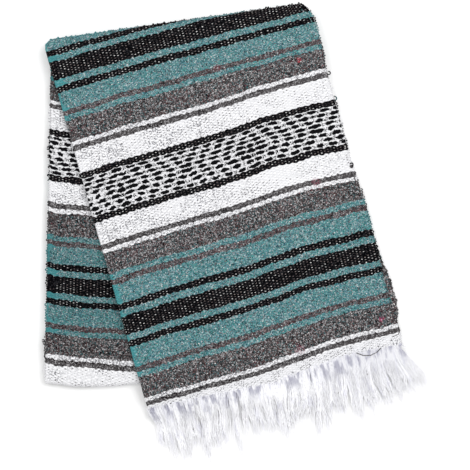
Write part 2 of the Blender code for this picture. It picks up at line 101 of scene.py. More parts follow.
END_BULGES = table(
    "across out",
    (0.0, 0.0), (0.18, 0.001), (0.3, 0.003), (0.41, 0.006), (0.49, 0.008), (0.55, 0.004), (0.69, -0.001),
    (0.78, -0.004), (0.9, -0.001), (0.95, 0.002), (1.0, 0.0),
)
LOW_BULGES = table(
    "across out",
    (0.0, 0.0), (0.14, 0.005), (0.25, 0.004), (0.36, 0.0), (0.7, 0.001), (1.0, 0.0),
)
RIGHT_SIDE = table(
    "along selvedge fold",
    (0.0, 0.0, -0.004), (0.05, 0.002, 0.0015), (0.12, -0.0005, 0.009), (0.2, -0.0015, 0.0084),
    (0.25, 0.001, 0.0044), (0.31, 0.0015, 0.002), (0.4, 0.003, -0.0005), (0.55, -0.001, -0.003),
    (0.7, -0.001, -0.0028), (0.8, -0.0022, -0.0045), (0.9, 0.001, -0.0015), (1.0, 0.0, -0.002),
)
CORNERS = table(
    "below left right",
    (0.0, 0.01, 0.012), (0.003, 0.006, 0.0095), (0.008, 0.0015, 0.0055), (0.016, 0.0, 0.002),
    (0.026, 0.0, 0.0),
)
HIDDEN = table(
    "left right crest",
    (-0.001, -0.003, -0.006), (-0.0035, -0.001, -0.0045), (0.0006, -0.004, -0.008),
    (-0.002, -0.0015, -0.0086), (-0.0008, -0.0035, -0.0086),
)
TASSELS = table(
    "across lean end reach width yarns",
    (0.03, 26, 6, 0.071, 0.013, 12), (0.088, 12, 15, 0.091, 0.015, 14), (0.145, 14, 8, 0.079, 0.012, 12),
    (0.226, 4, 10, 0.097, 0.012, 12), (0.277, 4, 3, 0.082, 0.01, 10), (0.327, 9, 8, 0.103, 0.005, 5),
    (0.368, 16, 10, 0.072, 0.01, 10), (0.407, 13, 13, 0.079, 0.009, 10), (0.45, 9, 27, 0.078, 0.01, 10),
    (0.511, 6, 15, 0.098, 0.011, 11), (0.562, 12, -3, 0.076, 0.01, 10), (0.608, 7, 4, 0.076, 0.01, 10),
    (0.655, 12, 12, 0.108, 0.01, 10), (0.709, 10, 12, 0.087, 0.011, 11), (0.757, 10, 10, 0.091, 0.012, 12),
    (0.807, 11, 18, 0.103, 0.013, 14), (0.857, 12, 25, 0.093, 0.013, 13), (0.907, 15, 24, 0.092, 0.014, 13),
    (0.958, 25, 32, 0.075, 0.031, 28),
)

# Bunches whose finer hairs stray over the gap beside them, and how much further
STRAY_HAIRS = {3: 1.35, 4: 1.35, 5: 1.7, 6: 1.7, 10: 1.35, 11: 1.35, 12: 1.4, 13: 1.4}

# The weft stripes over half a repeat, from the middle of the ikat band outwards, in picks
STRIPES = table(
    "upto yarn",
    (15.0, "ikat"), (20.0, "black"), (35.5, "white"), (39.5, "grey"), (43.0, "white"), (58.5, "charcoal"),
    (63.0, "teal"), (66.5, "grey"), (81.0, "teal"), (86.0, "black"), (91.0, "teal"), (98.0, "black"),
)
# Each yarn's own colour, its light and dark flecks, its colour where it turns at a side (cleaner yarn with a
# painted highlight on the rounded fold), how much it has of each fleck, how often the warp shows in it and
# how strongly that side colour shows
YARN_ROWS = table(
    "yarn base light dark clean light_share dark_share warp turned",
    ("ikat", (0.78, 0.78, 0.8), (0.86, 0.86, 0.88), (0.4, 0.4, 0.42), (0.8, 0.8, 0.82), 0.5, 0.35, 0.0, 0.5),
    ("white", (0.81, 0.81, 0.83), (0.91, 0.91, 0.93), (0.22, 0.22, 0.24), (0.86, 0.86, 0.88),
     0.5, 0.72, 0.9, 0.8),
    ("black", (0.003, 0.003, 0.004), (0.03, 0.03, 0.034), (0.001, 0.001, 0.001), (0.005, 0.005, 0.006),
     0.7, 0.6, 1.15, 0.2),
    ("grey", (0.066, 0.061, 0.063), (0.36, 0.35, 0.36), (0.005, 0.004, 0.005), (0.075, 0.072, 0.075),
     0.8, 0.95, 0.3, 0.2),
    ("charcoal", (0.06, 0.055, 0.057), (0.45, 0.44, 0.45), (0.004, 0.004, 0.005), (0.07, 0.067, 0.07),
     0.84, 0.95, 0.35, 0.12),
    ("teal", (0.086, 0.226, 0.24), (0.42, 0.5, 0.51), (0.018, 0.042, 0.048), (0.045, 0.3, 0.32),
     0.85, 0.95, 0.26, 1.0),
)
YARNS = {row.yarn: row for row in YARN_ROWS}

# Where stripes lie along the flap's left edge and the strip's: height in plan, picks from the ikat's middle
FLAP_BEAT = table(
    "y picks",
    (-0.2728, -165.0), (-0.2517, -153.0), (-0.2062, -129.5), (-0.1745, -115.0), (-0.1423, -98.0),
    (-0.1082, -81.0), (-0.0605, -58.5), (-0.0147, -35.5), (0.0178, -20.0), (0.0585, 0.0), (0.0961, 20.0),
    (0.1287, 35.5), (0.1761, 58.5), (0.2206, 81.0), (0.2689, 105.0), (0.2868, 115.0),
)
STRIP_BEAT = table(
    "y picks",
    (-0.2372, -176.0), (-0.1848, -153.0), (-0.1373, -129.5), (-0.1076, -115.0), (-0.0756, -98.0),
    (-0.0427, -81.0), (0.0016, -58.5), (0.0528, -35.5), (0.1241, 0.0), (0.1955, 35.5), (0.2381, 58.5),
)
# How far the weft rides up the flap from a straight line, in mm, going right from the left edge
FLAP_RIDE = table(
    "across end low lower ikat upper crest",
    (0.0, -3.9, -2.0, -1.3, -2.2, -3.4, -4.3), (0.06, -1.5, 2.0, 2.0, 0.6, -0.8, -3.9),
    (0.12, -0.9, 3.5, 3.9, 1.3, 0.9, -2.8), (0.18, -1.1, 3.1, 4.7, 1.6, 0.9, -2.1),
    (0.24, 2.6, 7.8, 6.7, 3.8, 1.6, -2.3), (0.3, 7.0, 12.5, 12.2, 8.1, 1.6, -3.8),
    (0.36, 6.5, 10.5, 11.3, 8.4, 2.0, -4.8), (0.42, 5.6, 9.1, 9.1, 7.6, 1.9, -5.2),
)
# Where along the flap each column of that table lies, from the ikat's middle
RIDE_PLACES = {"end": -0.33, "low": -0.27, "lower": -0.12, "ikat": 0.08, "upper": 0.16, "crest": 0.24}
# Loops and carried yarns along the sides, and grey lines painted as shadows: their yarn, size and places in
# plan
FLAP_LOOSE = table(
    "yarn size places",
    ("black", 0.0025, ((0.1428, 0.25),)),
    ("charcoal", 0.0033, ((0.1518, 0.211),)),
    ("black", 0.0018, ((0.1625, 0.1473),)),
    ("black", 0.0018, ((0.1685, 0.1349),)),
    ("charcoal", 0.0026, ((0.179, 0.1077),)),
    ("charcoal", 0.0017, ((0.1792, 0.1052),)),
    ("grey", 0.0, ((0.178, 0.0965), (0.1828, 0.0905), (0.185, 0.0837), (0.1862, 0.0744))),
    ("grey", 0.0, ((0.2426, -0.1597), (0.2519, -0.1566), (0.2545, -0.1504), (0.2519, -0.1442))),
    ("teal", 0.0, ((0.1008, 0.347), (0.1085, 0.341), (0.1155, 0.3302), (0.1205, 0.318))),
    ("black", 0.002, ((0.131, 0.29),)),
    ("charcoal", 0.0018, ((0.2235, -0.042),)),
    ("black", 0.0007, ((-0.0674, -0.3038),)),
    # A grey arc painted as the shadow round a white knot at a fringe root
    ("grey", 0.0007, ((-0.0519, -0.269), (-0.0504, -0.2604), (-0.0442, -0.2562), (-0.038, -0.261))),
    # A grey line painted as the shadow under the loop that sags between two bunches
    ("grey", 0.0006,
     ((0.1868, -0.185), (0.1977, -0.1892), (0.2085, -0.189), (0.219, -0.1838), (0.2245, -0.1775))),
    ("charcoal", 0.0006, ((-0.0279, -0.2682),)),
    ("charcoal", 0.0007, ((-0.0023, -0.2744),)),
    ("charcoal", 0.0005, ((0.1581, -0.248),)),
    ("charcoal", 0.0006, ((0.2038, -0.2186),)),
)
STRIP_LOOSE = table(
    "yarn size places",
    ("grey", 0.002, ((-0.2984, -0.169),)),
    ("grey", 0.0018, ((-0.3, -0.1659),)),
    ("grey", 0.0, ((-0.288, -0.1798), (-0.2968, -0.1829), (-0.2984, -0.1907), (-0.2912, -0.1969))),
    ("black", 0.0019, ((-0.2922, 0.1333),)),
    ("black", 0.0019, ((-0.2911, 0.1209),)),
)
# A loop of yarn that sags between two bunches of the fringe
SAG = ((0.1820, -0.1790), (0.1905, -0.1868), (0.2023, -0.1900), (0.2131, -0.1855), (0.2195, -0.1765))
# Spots of other wool on the flap: place in plan, size, strength, colour
SPOTS = table(
    "x y size strength tint",
    (0.0969, 0.269, 0.005, 0.75, (0.42, 0.02, 0.04)),
    (0.2262, -0.1328, 0.0052, 0.8, (0.38, 0.03, 0.12)),
    (-0.03, 0.256, 0.008, 0.35, (0.26, 0.05, 0.07)),
    (0.1232, 0.08, 0.009, 0.45, (0.26, 0.05, 0.09)),
    (0.098, -0.179, 0.01, 0.4, (0.22, 0.05, 0.09)),
)
# The warp's ends, as shares of them and their tones
WARP_TONES = table(
    "start tone",
    (0.0, (0.78, 0.77, 0.75)), (0.16, (0.44, 0.43, 0.42)), (0.4, (0.26, 0.22, 0.21)),
    (0.62, (0.15, 0.12, 0.12)), (0.8, (0.07, 0.06, 0.06)),
)
# How far picks waver and swell, in picks, and a warp dot's size as a share of its cell
SLOW_WAVER = 3.4
QUICK_WAVER = 1.7
SWELL = 0.24
DOT_WIDE = 0.25
DOT_TALL = 0.56
# Where the white heading of the woven end starts, along the pattern
HEADING_START = (-0.336, -0.340)
# The ikat: picks to a row of dashes, a diamond's start and half width, and a dash's pitch
IKAT_ROW = 3.75
DIAMOND_START = 0.1573
DIAMOND_HALF = 0.1065
DASH_PITCH = 0.0212
ROOT_SHADE = (0.40, 0.40, 0.46)

# How the weft lies on the flap and on the strip
FLAP_TILT = math.radians(14.9)
FLAP_WARP = Vector((-math.sin(FLAP_TILT), math.cos(FLAP_TILT)))
FLAP_IKAT = Vector((-0.2314, 0.0585))
EDGE_SLANT = 1.038
STRIP_LEFT = -0.2925
STRIP_SLOPE = 0.095
STRIP_BEND = 0.16
WEFT_START = 0.2
SIDE_START = 0.35

# Cells of the woven sheets, and steps round their turns and the hairpin
FLAP_COLUMNS = 124
FLAP_ROWS = 272
STRIP_COLUMNS = 140
STRIP_ROWS = 252
TURN_STEPS = 12
HAIRPIN_STEPS = 8
# The fringe: points along a yarn and a hair, how high a yarn's middle rests, and the length of one twist
YARN_POINTS = 34
HAIR_POINTS = 10
YARN_REST = 0.0016
PLY_TWIST = 0.012
HAIR_RADIUS = 0.00034
# The woven edge: points along its cord, and how many short floats and fuzzy hairs it has
CORD_POINTS = 181
FLOATS = 110
FUZZ = 420


def read_table(rows, at, column):
    """A column's value between two rows, eased so that it has no corner."""
    if at <= rows[0][0]:
        return getattr(rows[0], column)
    for low, high in zip(rows, rows[1:]):
        if at <= high[0]:
            share = ease((at - low[0]) / (high[0] - low[0]))
            return getattr(low, column) * (1 - share) + getattr(high, column) * share
    return getattr(rows[-1], column)


def straight(rows, at):
    """The second column between two rows, in straight runs that go on past both ends."""
    low, high = rows[0], rows[1]
    for before, after in zip(rows, rows[1:]):
        if at >= before[0]:
            low, high = before, after
    return low[1] + (high[1] - low[1]) * (at - low[0]) / (high[0] - low[0])


def ease(share):
    """Nought to one with level ends."""
    share = min(max(share, 0.0), 1.0)
    return share * share * (3 - 2 * share)


def outward(start, end):
    """The unit normal on the left hand of a line in plan."""
    along = (end - start).normalized()
    return Vector((-along.y, along.x))


CREST_WEFT = (FLAP_CREST_RIGHT - FLAP_CREST_LEFT).normalized()
END_WEFT = (FLAP_END_RIGHT - FLAP_END_LEFT).normalized()
CREST_OUT = outward(FLAP_CREST_LEFT, FLAP_CREST_RIGHT)
END_OUT = -outward(FLAP_END_LEFT, FLAP_END_RIGHT)
FLAP_RIGHTWARDS = outward(FLAP_CREST_RIGHT, FLAP_END_RIGHT)
PILE_RIGHTWARDS = outward(PILE_CREST_RIGHT, PILE_LOW_RIGHT)
PILE_DOWNWARDS = outward(PILE_LOW_RIGHT, PILE_LOW_LEFT)
PILE_LENGTH = (PILE_CREST_LEFT - PILE_LOW_LEFT).length
FLAP_WIDTH = (FLAP_CREST_RIGHT - FLAP_CREST_LEFT).length
FLAP_LENGTH = (FLAP_CREST_LEFT - FLAP_END_LEFT).length


def drape(x, y):
    """Height of what lies under the flap: the strip, easing to the floor past its edges."""
    point = Vector((x, y))
    right = (point - PILE_CREST_RIGHT).dot(PILE_RIGHTWARDS)
    below = (point - PILE_LOW_RIGHT).dot(PILE_DOWNWARDS)
    past = max(right, below)
    if right > 0 and below > 0:
        past = math.hypot(right, below)
    return FLAP_BASE * (1 - ease((past - EASE_START) / EASE_RUN))


def steepness(x, y):
    """How much longer a wall's upright thickness is than its true one on the flap's slope."""
    step = 0.002
    rise_x = (drape(x + step, y) - drape(x - step, y)) / (2 * step)
    rise_y = (drape(x, y + step) - drape(x, y - step)) / (2 * step)
    return math.sqrt(1 + rise_x * rise_x + rise_y * rise_y)


def unevenness(plan, row):
    """Soft waves of the flap, dying out towards the turn."""
    wave = math.sin(17 * plan.x + 11 * plan.y + 0.6) * math.sin(9 * plan.x - 15 * plan.y + 1.9)
    return RIPPLE * (1 + wave) * (1 - ease((row - 0.94) / 0.06))


def wander(x, y, z=0.0):
    """Smooth noise at three numbers, between about -1 and 1."""
    return noise.noise(Vector((x, y, z)))


def scallop(across):
    """How far the woven end swells out between two bunches of the fringe."""
    roots = [-0.01] + [tassel.across for tassel in TASSELS] + [1.01]
    for low, high in zip(roots, roots[1:]):
        if low <= across <= high:
            return 0.0016 * math.sin(math.pi * (across - low) / (high - low)) ** 0.8
    return 0.0


def woven_edge(across):
    """How far the woven end lies out of its line: swells between bunches, and uneven beating."""
    return scallop(across) + 0.0011 * wander(across * 42, 2.0) + 0.0005 * wander(across * 130, 9.0)


def flap_plan(across, along, inset=0.0):
    """A point of the flap in plan: along runs from the woven end to the axis of the turn."""
    bulge = read_table(END_BULGES, across, "out")
    end = FLAP_END_LEFT.lerp(FLAP_END_RIGHT, across) + END_OUT * bulge
    axis = FLAP_CREST_LEFT.lerp(FLAP_CREST_RIGHT, across) - CREST_OUT * TOP_TURN
    side = read_table(RIGHT_SIDE, along, "selvedge")
    weft = END_WEFT.lerp(CREST_WEFT, along)
    return end.lerp(axis, along) + FLAP_RIGHTWARDS * (side * across * across) + weft * inset


def corner_pull(across, below):
    """Movement along the crest where the turned corners pull in."""
    left = read_table(CORNERS, below, "left") * ease(1 - across / 0.12)
    right = read_table(CORNERS, below, "right") * ease((across - 0.88) / 0.12)
    return CREST_WEFT * (left - right)


def pulled_plan(across, inset, row):
    """A point of the flap in plan with its turned corners pulled in."""
    flat = min(row, 1.0)
    angle = math.pi * max(row - 1.0, 0.0)
    below = (1 - flat) * FLAP_LENGTH + TOP_TURN * (1 - math.sin(min(angle, math.pi / 2)))
    return flap_plan(across, flat, inset) + corner_pull(across + inset / FLAP_WIDTH, below)


def flap_point(across, inset, depth, row):
    """A point of the flap's cloth. Depth is measured in from the cloth's outer face."""
    plan = pulled_plan(across, inset, row)
    angle = math.pi * max(row - 1.0, 0.0)
    slope = steepness(plan.x, plan.y)
    top = drape(plan.x, plan.y) + INNER_FLAP + GAP + CLOTH * slope + SLOPE_SLACK * (slope - 1)
    top += unevenness(plan, row)
    if row <= 1.0:
        return Vector((plan.x, plan.y, top - depth))
    reach = TOP_TURN - depth
    plan += CREST_OUT * (reach * math.sin(angle))
    return Vector((plan.x, plan.y, top - TOP_TURN + reach * math.cos(angle)))


def flap_pattern(plan, row=0.0):
    """How far along the pattern a place on the flap lies, in metres of picks."""
    flat = plan + CREST_OUT * (math.pi * TOP_TURN * max(row - 1.0, 0.0))
    along = (flat - FLAP_IKAT).dot(FLAP_WARP)
    across = (flat - FLAP_IKAT).cross(FLAP_WARP)
    near = near_rides(across)
    rides = [
        (place, straight([(ride.across, getattr(ride, name)) for ride in near], across))
        for name, place in RIDE_PLACES.items()
    ]
    lift = straight(rides, min(max(along, rides[0][0]), rides[-1][0])) * MM
    return straight(FLAP_BEAT, FLAP_IKAT.y + along / EDGE_SLANT - lift) * PICK


def near_rides(across):
    """The two rows of the table of the weft's ride beside a place."""
    number = min(max(int(across / FLAP_RIDE[1].across), 0), len(FLAP_RIDE) - 2)
    return FLAP_RIDE[number : number + 2]


def pile_plan(across, along):
    """A point of the strip's upper layer in plan: along runs from its lower turn to the crest."""
    low = PILE_LOW_LEFT.lerp(PILE_LOW_RIGHT, across)
    low += PILE_DOWNWARDS * (read_table(LOW_BULGES, across, "out") - LOW_TURN)
    crest = PILE_CREST_LEFT.lerp(PILE_CREST_RIGHT, across) - CREST_OUT * (TOP_TURN + CREST_ROOM)
    return low.lerp(crest, along)


def pile_point(across, row):
    """A point of the strip's upper layer. A row of 0 to 1 is flat, and below 0 is the lower turn."""
    plan = pile_plan(across, max(row, 0.0))
    if row >= 0:
        return Vector((plan.x, plan.y, PILE_TOP))
    angle = min(-row, 1.0) * math.pi
    plan += PILE_DOWNWARDS * (LOW_TURN * math.sin(angle))
    if row < -1:
        plan -= PILE_DOWNWARDS * LOW_RETURN
    return Vector((plan.x, plan.y, LOW_TURN * (1 + math.cos(angle))))


def strip_pattern(plan, row=0.0):
    """How far along the pattern a place on the strip lies, in metres of picks."""
    right = plan.x - STRIP_LEFT
    y = plan.y + STRIP_SLOPE * STRIP_BEND * math.tanh(right / STRIP_BEND) + 0.0023 * ease(right / 0.014)
    y -= math.pi * LOW_TURN * max(-row, 0.0)
    return -straight(STRIP_BEAT, y) * PICK


def fine(x, y, scale, seed):
    """Smooth noise over a place in the cloth, between about -1 and 1."""
    return wander(x * scale, y * scale, seed)


def relief(u, v, seed):
    """Slack and tight places of the weave, as a height over the cloth's face."""
    slack = 0.00040 * fine(u, v, 28, seed) + 0.00030 * fine(u, v, 75, seed + 5)
    rows = 0.00012 * fine(u * 0.2, v, 480, seed + 9)
    return slack + rows


def woven_sheet(name, columns, rows, place, flat, keep=None):
    """A cloth's outer face: a grid placed by a function, with the flat cloth as its UV map."""
    bpy.ops.object.select_all(action="DESELECT")
    bpy.ops.mesh.primitive_grid_add(x_subdivisions=len(columns) - 1, y_subdivisions=len(rows) - 1, size=1.0)
    piece = bpy.context.object
    piece.name = name
    mesh = piece.data
    shape = bmesh.new()
    shape.from_mesh(mesh)
    marks = {}
    for point in shape.verts:
        column = round((point.co.x + 0.5) * (len(columns) - 1))
        row = round((point.co.y + 0.5) * (len(rows) - 1))
        marks[point] = (column, row)
        point.co = place(columns[column], rows[row])
    if keep:
        dropped = []
        for face in shape.faces:
            spots = [marks[corner] for corner in face.verts]
            if not keep(min(spot[0] for spot in spots), min(spot[1] for spot in spots)):
                dropped.append(face)
        bmesh.ops.delete(shape, geom=dropped, context="FACES")
    layer = shape.loops.layers.uv.new("Cloth")
    spread = {}
    for corner in shape.verts:
        column, row = marks[corner]
        spread[corner] = flat(columns[column], rows[row])
    for face in shape.faces:
        for loop in face.loops:
            loop[layer].uv = spread[loop.vert]
    shape.normal_update()
    highest = max(shape.faces, key=lambda face: face.calc_center_median().z)
    if highest.normal.z < 0:
        bmesh.ops.reverse_faces(shape, faces=shape.faces)
        shape.normal_update()
    moves = [(corner, corner.normal * relief(*spread[corner], len(name))) for corner in shape.verts]
    for corner, move in moves:
        corner.co += move
    shape.to_mesh(mesh)
    shape.free()
    for other in [layer.name for layer in mesh.uv_layers if layer.name != "Cloth"]:
        mesh.uv_layers.remove(mesh.uv_layers[other])
    wall = piece.modifiers.new("Wall", "SOLIDIFY")
    wall.thickness = CLOTH
    wall.offset = -1.0
    wall.use_even_offset = True
    bpy.ops.object.modifier_apply(modifier="Wall")
    for corner in mesh.vertices:
        corner.co.z = max(corner.co.z, 0.0001)
    mesh.shade_smooth()
    return piece


def shares(count):
    """Even shares from nought to one."""
    return [step / count for step in range(count + 1)]


def make_flap():
    """The turned-over stretch, from the woven end to the turn, with the hairpin along its left."""
    columns = [(0.0, HAIRPIN_RETURN, 2 * HAIRPIN_RADIUS), (0.0, 0.007, 2 * HAIRPIN_RADIUS)]
    for share in shares(HAIRPIN_STEPS):
        angle = math.pi * (0.5 - share)
        inset = HAIRPIN_RADIUS * (1 - math.cos(angle))
        columns.append((0.0, inset, HAIRPIN_RADIUS * (1 + math.sin(angle))))
    for step in range(1, 4):
        columns.append((0.0, HAIRPIN_RADIUS + (HAIRPIN_PAST - HAIRPIN_RADIUS) * step / 3, 0.0))
    start = HAIRPIN_PAST / FLAP_WIDTH
    columns += [(start + (1 - start) * share, 0.0, 0.0) for share in shares(FLAP_COLUMNS)[1:]]
    rows = shares(FLAP_ROWS) + [1 + share for share in shares(TURN_STEPS)[1:]]

    def place(column, row):
        across, inset, depth = column
        spot = flap_point(across, inset, depth, row)
        near_end = 1 - ease(row / 0.012)
        out = END_OUT * (woven_edge(across + inset / FLAP_WIDTH) * near_end)
        edge = 0.0006 * fine(across, row, 190, 3.0) * ease((across - 0.99) / 0.01)
        return spot + Vector((out.x + edge, out.y, 0.0))

    def flat(column, row):
        across, inset, depth = column
        u = across * FLAP_WIDTH + inset
        if depth > 0 and inset < HAIRPIN_RADIUS + 1e-6:
            u = -math.pi * HAIRPIN_RADIUS * (depth / (4 * HAIRPIN_RADIUS))
        if depth > 1.9 * HAIRPIN_RADIUS:
            u = -math.pi * HAIRPIN_RADIUS / 2 - inset
        return u, flap_pattern(pulled_plan(across, inset, row), row)

    return woven_sheet("flap_weave", columns, rows, place, flat)


def make_strip():
    """The strip's upper layer: its arm up the left side, and its turn along the lower end."""
    columns = shares(STRIP_COLUMNS)
    turn = [-1.5] + [share - 1 for share in shares(TURN_STEPS)[:-1]]
    rows = turn + shares(STRIP_ROWS)
    arm = round(ARM_SHARE * STRIP_COLUMNS)
    zone = len(turn) + round(LOW_ZONE / PILE_LENGTH * STRIP_ROWS)

    def keep(column, row):
        return column < arm or row < zone

    def flat(across, row):
        return across * FLAP_WIDTH, strip_pattern(pile_plan(across, max(row, 0.0)), row)

    return woven_sheet("strip_weave", columns, rows, pile_point, flat, keep)


def lower_inset(height):
    """How far a hidden layer stays in from the strip's lower end, to lie inside the turn."""
    inner = LOW_TURN - CLOTH - GAP
    rise = height - LOW_TURN
    if abs(rise) >= inner:
        return LOW_TURN + LOW_RETURN + GAP
    return LOW_TURN - math.sqrt(inner * inner - rise * rise) + GAP


def strip_ring(number, inset, height):
    """One ring round the strip's hidden layers, with round corners and an uneven edge."""
    layer = HIDDEN[number]
    base = number * LAYER_PITCH
    lower = max(lower_inset(base), lower_inset(base + LAYER_PITCH))
    shifts = (-lower, layer.right, layer.crest, layer.left)
    corners = (PILE_LOW_LEFT, PILE_LOW_RIGHT, PILE_CREST_RIGHT, PILE_CREST_LEFT)
    sides = []
    for step, corner in enumerate(corners):
        after = corners[(step + 1) % 4]
        out = -outward(corner, after)
        sides.append((corner + out * (shifts[step] - inset), (after - corner).normalized(), out))
    points = []
    for step, (start, way, out) in enumerate(sides):
        before, before_way, before_out = sides[step - 1]
        reach = (start - before).cross(way) / before_way.cross(way)
        points.append(before + before_way * reach)
    ring = []
    for step, corner in enumerate(points):
        before = (points[step - 1] - corner).normalized() * STRIP_CORNER
        after_corner = points[(step + 1) % 4]
        after = (after_corner - corner).normalized() * STRIP_CORNER
        ring += [corner + before * (1 - share) ** 2 + after * share**2 for share in shares(4)]
        count = 130 if step in (1, 3) else 40
        for share in shares(count)[1:-1]:
            spot = (corner + after).lerp(after_corner - after, share)
            wave = 0.0009 * fine(spot.x, spot.y, 24, number * 7.0)
            wave += 0.0004 * fine(spot.x, spot.y, 90, number * 3.0)
            ring.append(spot + sides[step][2] * (min(wave, 0.0006) * math.sin(math.pi * share) ** 0.2))
    return [(spot.x, spot.y, height) for spot in ring]


def add_object(name, data):
    """A new object in the scene."""
    piece = bpy.data.objects.new(name, data)
    bpy.context.scene.collection.objects.link(piece)
    return piece


def loft(name, rings, flat):
    """A closed shell through rings of equal count, with its UV map by ring and place."""
    shape = bmesh.new()
    loops = [[shape.verts.new(point) for point in ring] for ring in rings]
    count = len(rings[0])
    ring_of = {corner: number for number, loop in enumerate(loops) for corner in loop}
    for low, high in zip(loops, loops[1:]):
        for step in range(count):
            after = (step + 1) % count
            shape.faces.new((low[step], low[after], high[after], high[step]))
    shape.faces.new(loops[0])
    shape.faces.new(loops[-1])
    bmesh.ops.recalc_face_normals(shape, faces=shape.faces)
    layer = shape.loops.layers.uv.new("Cloth")
    for face in shape.faces:
        for loop in face.loops:
            loop[layer].uv = flat(loop.vert.co, ring_of[loop.vert])
    mesh = bpy.data.meshes.new(name)
    shape.to_mesh(mesh)
    shape.free()
    mesh.shade_smooth()
    return add_object(name, mesh)


def make_strip_layers():
    """The strip's hidden layers, one over the other, each edge a rounded lip."""
    rings = []
    numbers = []
    for number in range(LAYERS_BELOW):
        for share, inset in LIP:
            rings.append(strip_ring(number, inset, (number + share) * LAYER_PITCH))
            numbers.append((number, inset))
    last, inset = LAYERS_BELOW - 1, LIP[0][1]
    rings.append(strip_ring(last, inset, LAYERS_BELOW * LAYER_PITCH))
    numbers.append((last, inset))
    low = -0.2325 - LOW_TURN

    def flat(spot, ring):
        number, inset = numbers[ring]
        u = SIDE_START + spot.x + number * 0.003 + inset * 2
        if number < LAYERS_UNDER_TURN:
            return u, strip_pattern(Vector((spot.x, 2 * low - spot.y)))
        return u, strip_pattern(spot.xy)

    return loft("strip_layers", rings, flat)


def make_flap_layers():
    """The flap's two inner layers, with a fold along the right and a selvedge under the left."""
    edge = [(LEDGE_IN + 0.0008, 0.0), (LEDGE_IN + 0.0002, 0.0003), (LEDGE_IN, 0.001)]
    edge += [(LEDGE_IN + 0.0002, 0.0017), (LEDGE_IN + 0.0008, LEDGE_TOP), (0.007, LEDGE_TOP)]
    edge += [(RISER_IN, LEDGE_TOP), (RISER_IN, INNER_FLAP - 0.0007), (HAIRPIN_PAST, INNER_FLAP)]
    left = [(0.0, inset, rise) for inset, rise in edge]
    between = [0.06 + 0.93 * share for share in shares(46)]
    top = [(across, 0.0, INNER_FLAP) for across in between]
    bottom = [(across, 0.0, 0.0) for across in reversed(between)]
    steps = 10
    rings = []
    rows = [0.004] + [0.012 + 0.988 * share for share in shares(190)] + [1 + share for share in shares(8)[1:]]
    for row in rows:
        along = min(row, 1.0)
        fold = read_table(RIGHT_SIDE, along, "fold") - read_table(RIGHT_SIDE, along, "selvedge")
        fold += 0.0007 * fine(row, 0.0, 60, 2.0)
        nose = []
        for step in range(steps + 1):
            angle = math.pi * (0.5 - step / steps)
            pinch = 0.0005 * math.exp(-((step - steps / 2) ** 2) / 1.5)
            inset = fold - NOSE_DEPTH * (1 - math.cos(angle)) - pinch
            nose.append((1.0, inset, INNER_FLAP / 2 * (1 + math.sin(angle))))
        ring = []
        for across, inset, rise in left + top + nose + bottom:
            if row > 1.0:
                depth = min(CLOTH + GAP + INNER_FLAP - rise, TOP_TURN - 0.0002)
                ring.append(flap_point(across, inset, depth, row))
                continue
            plan = pulled_plan(across, inset, row)
            lift = drape(plan.x, plan.y)
            if rise > LEDGE_TOP:
                lift += unevenness(plan, row) * ease((rise - LEDGE_TOP) / (INNER_FLAP - LEDGE_TOP))
            ring.append(Vector((plan.x, plan.y, lift + rise)))
        rings.append(ring)

    def flat(spot, ring):
        row = rows[ring]
        if 0.07 < row < 0.27 and spot.x > 0.1:
            past = (spot.xy - FLAP_END_RIGHT).dot(FLAP_RIGHTWARDS)
            v = (50.5 + 2.0 * fine(row, spot.z, 14, 1.0)) * PICK + max(past, -0.002) + 0.6 * spot.z - 0.009
            return SIDE_START + spot.y, v
        if row > 1:
            return SIDE_START + spot.z, flap_pattern(pulled_plan(0.5, 0.0, row), row)
        return SIDE_START + spot.z + (spot.x * 0.7 if row < 1 else 0.0), flap_pattern(spot.xy)

    return loft("flap_layers", rings, flat)


def yarn_curve(name, strands, sides=0):
    """Yarns as round curves, made one mesh. Each is a list of points with their radii."""
    curve = bpy.data.curves.new(name, "CURVE")
    curve.dimensions = "3D"
    curve.bevel_depth = 1.0
    curve.bevel_resolution = sides
    curve.use_fill_caps = True
    for strand in strands:
        spline = curve.splines.new("POLY")
        spline.points.add(len(strand) - 1)
        for mark, (point, radius) in zip(spline.points, strand):
            mark.co = (*point, 1.0)
            mark.radius = radius
    piece = add_object(name, curve)
    bpy.ops.object.select_all(action="DESELECT")
    piece.select_set(True)
    bpy.context.view_layer.objects.active = piece
    bpy.ops.object.convert(target="MESH")
    piece = bpy.context.object
    piece.data.shade_smooth()
    return piece


def map_yarns(piece, pattern):
    """The cloth's UV map for yarns, from how far along the pattern each vertex lies."""
    layer = piece.data.uv_layers.new(name="Cloth")
    for loop in piece.data.loops:
        corner = piece.data.vertices[loop.vertex_index]
        layer.data[loop.index].uv = (WEFT_START + corner.co.x, pattern(corner))


def through(places):
    """Points along straight runs from place to place in plan, five to a run, without the last place."""
    runs = zip(places, places[1:])
    return [Vector(low).lerp(Vector(high), share) for low, high in runs for share in shares(5)[:-1]]


def tassel_way(tassel, share):
    """Direction in plan along a bunch, turning evenly from its root to its tip."""
    angle = math.radians(tassel.lean + (tassel.end - tassel.lean) * share)
    return Vector((math.sin(angle), -math.cos(angle)))


def tassel_line(tassel, count):
    """Places and directions along a bunch's middle line, past its tip to a fifth more."""
    spot = flap_plan(tassel.across, 0.0) + END_OUT * 0.0004
    line = []
    step = tassel.reach / count
    for number in range(int(count * 1.2) + 1):
        way = tassel_way(tassel, number / count)
        line.append((spot.copy(), way))
        spot += way * step
    return line


def read_line(line, at):
    """A place and direction between two of a line's marks."""
    low = min(max(int(at), 0), len(line) - 2)
    share = at - low
    return line[low][0].lerp(line[low + 1][0], share), line[low][1].lerp(line[low + 1][1], share)


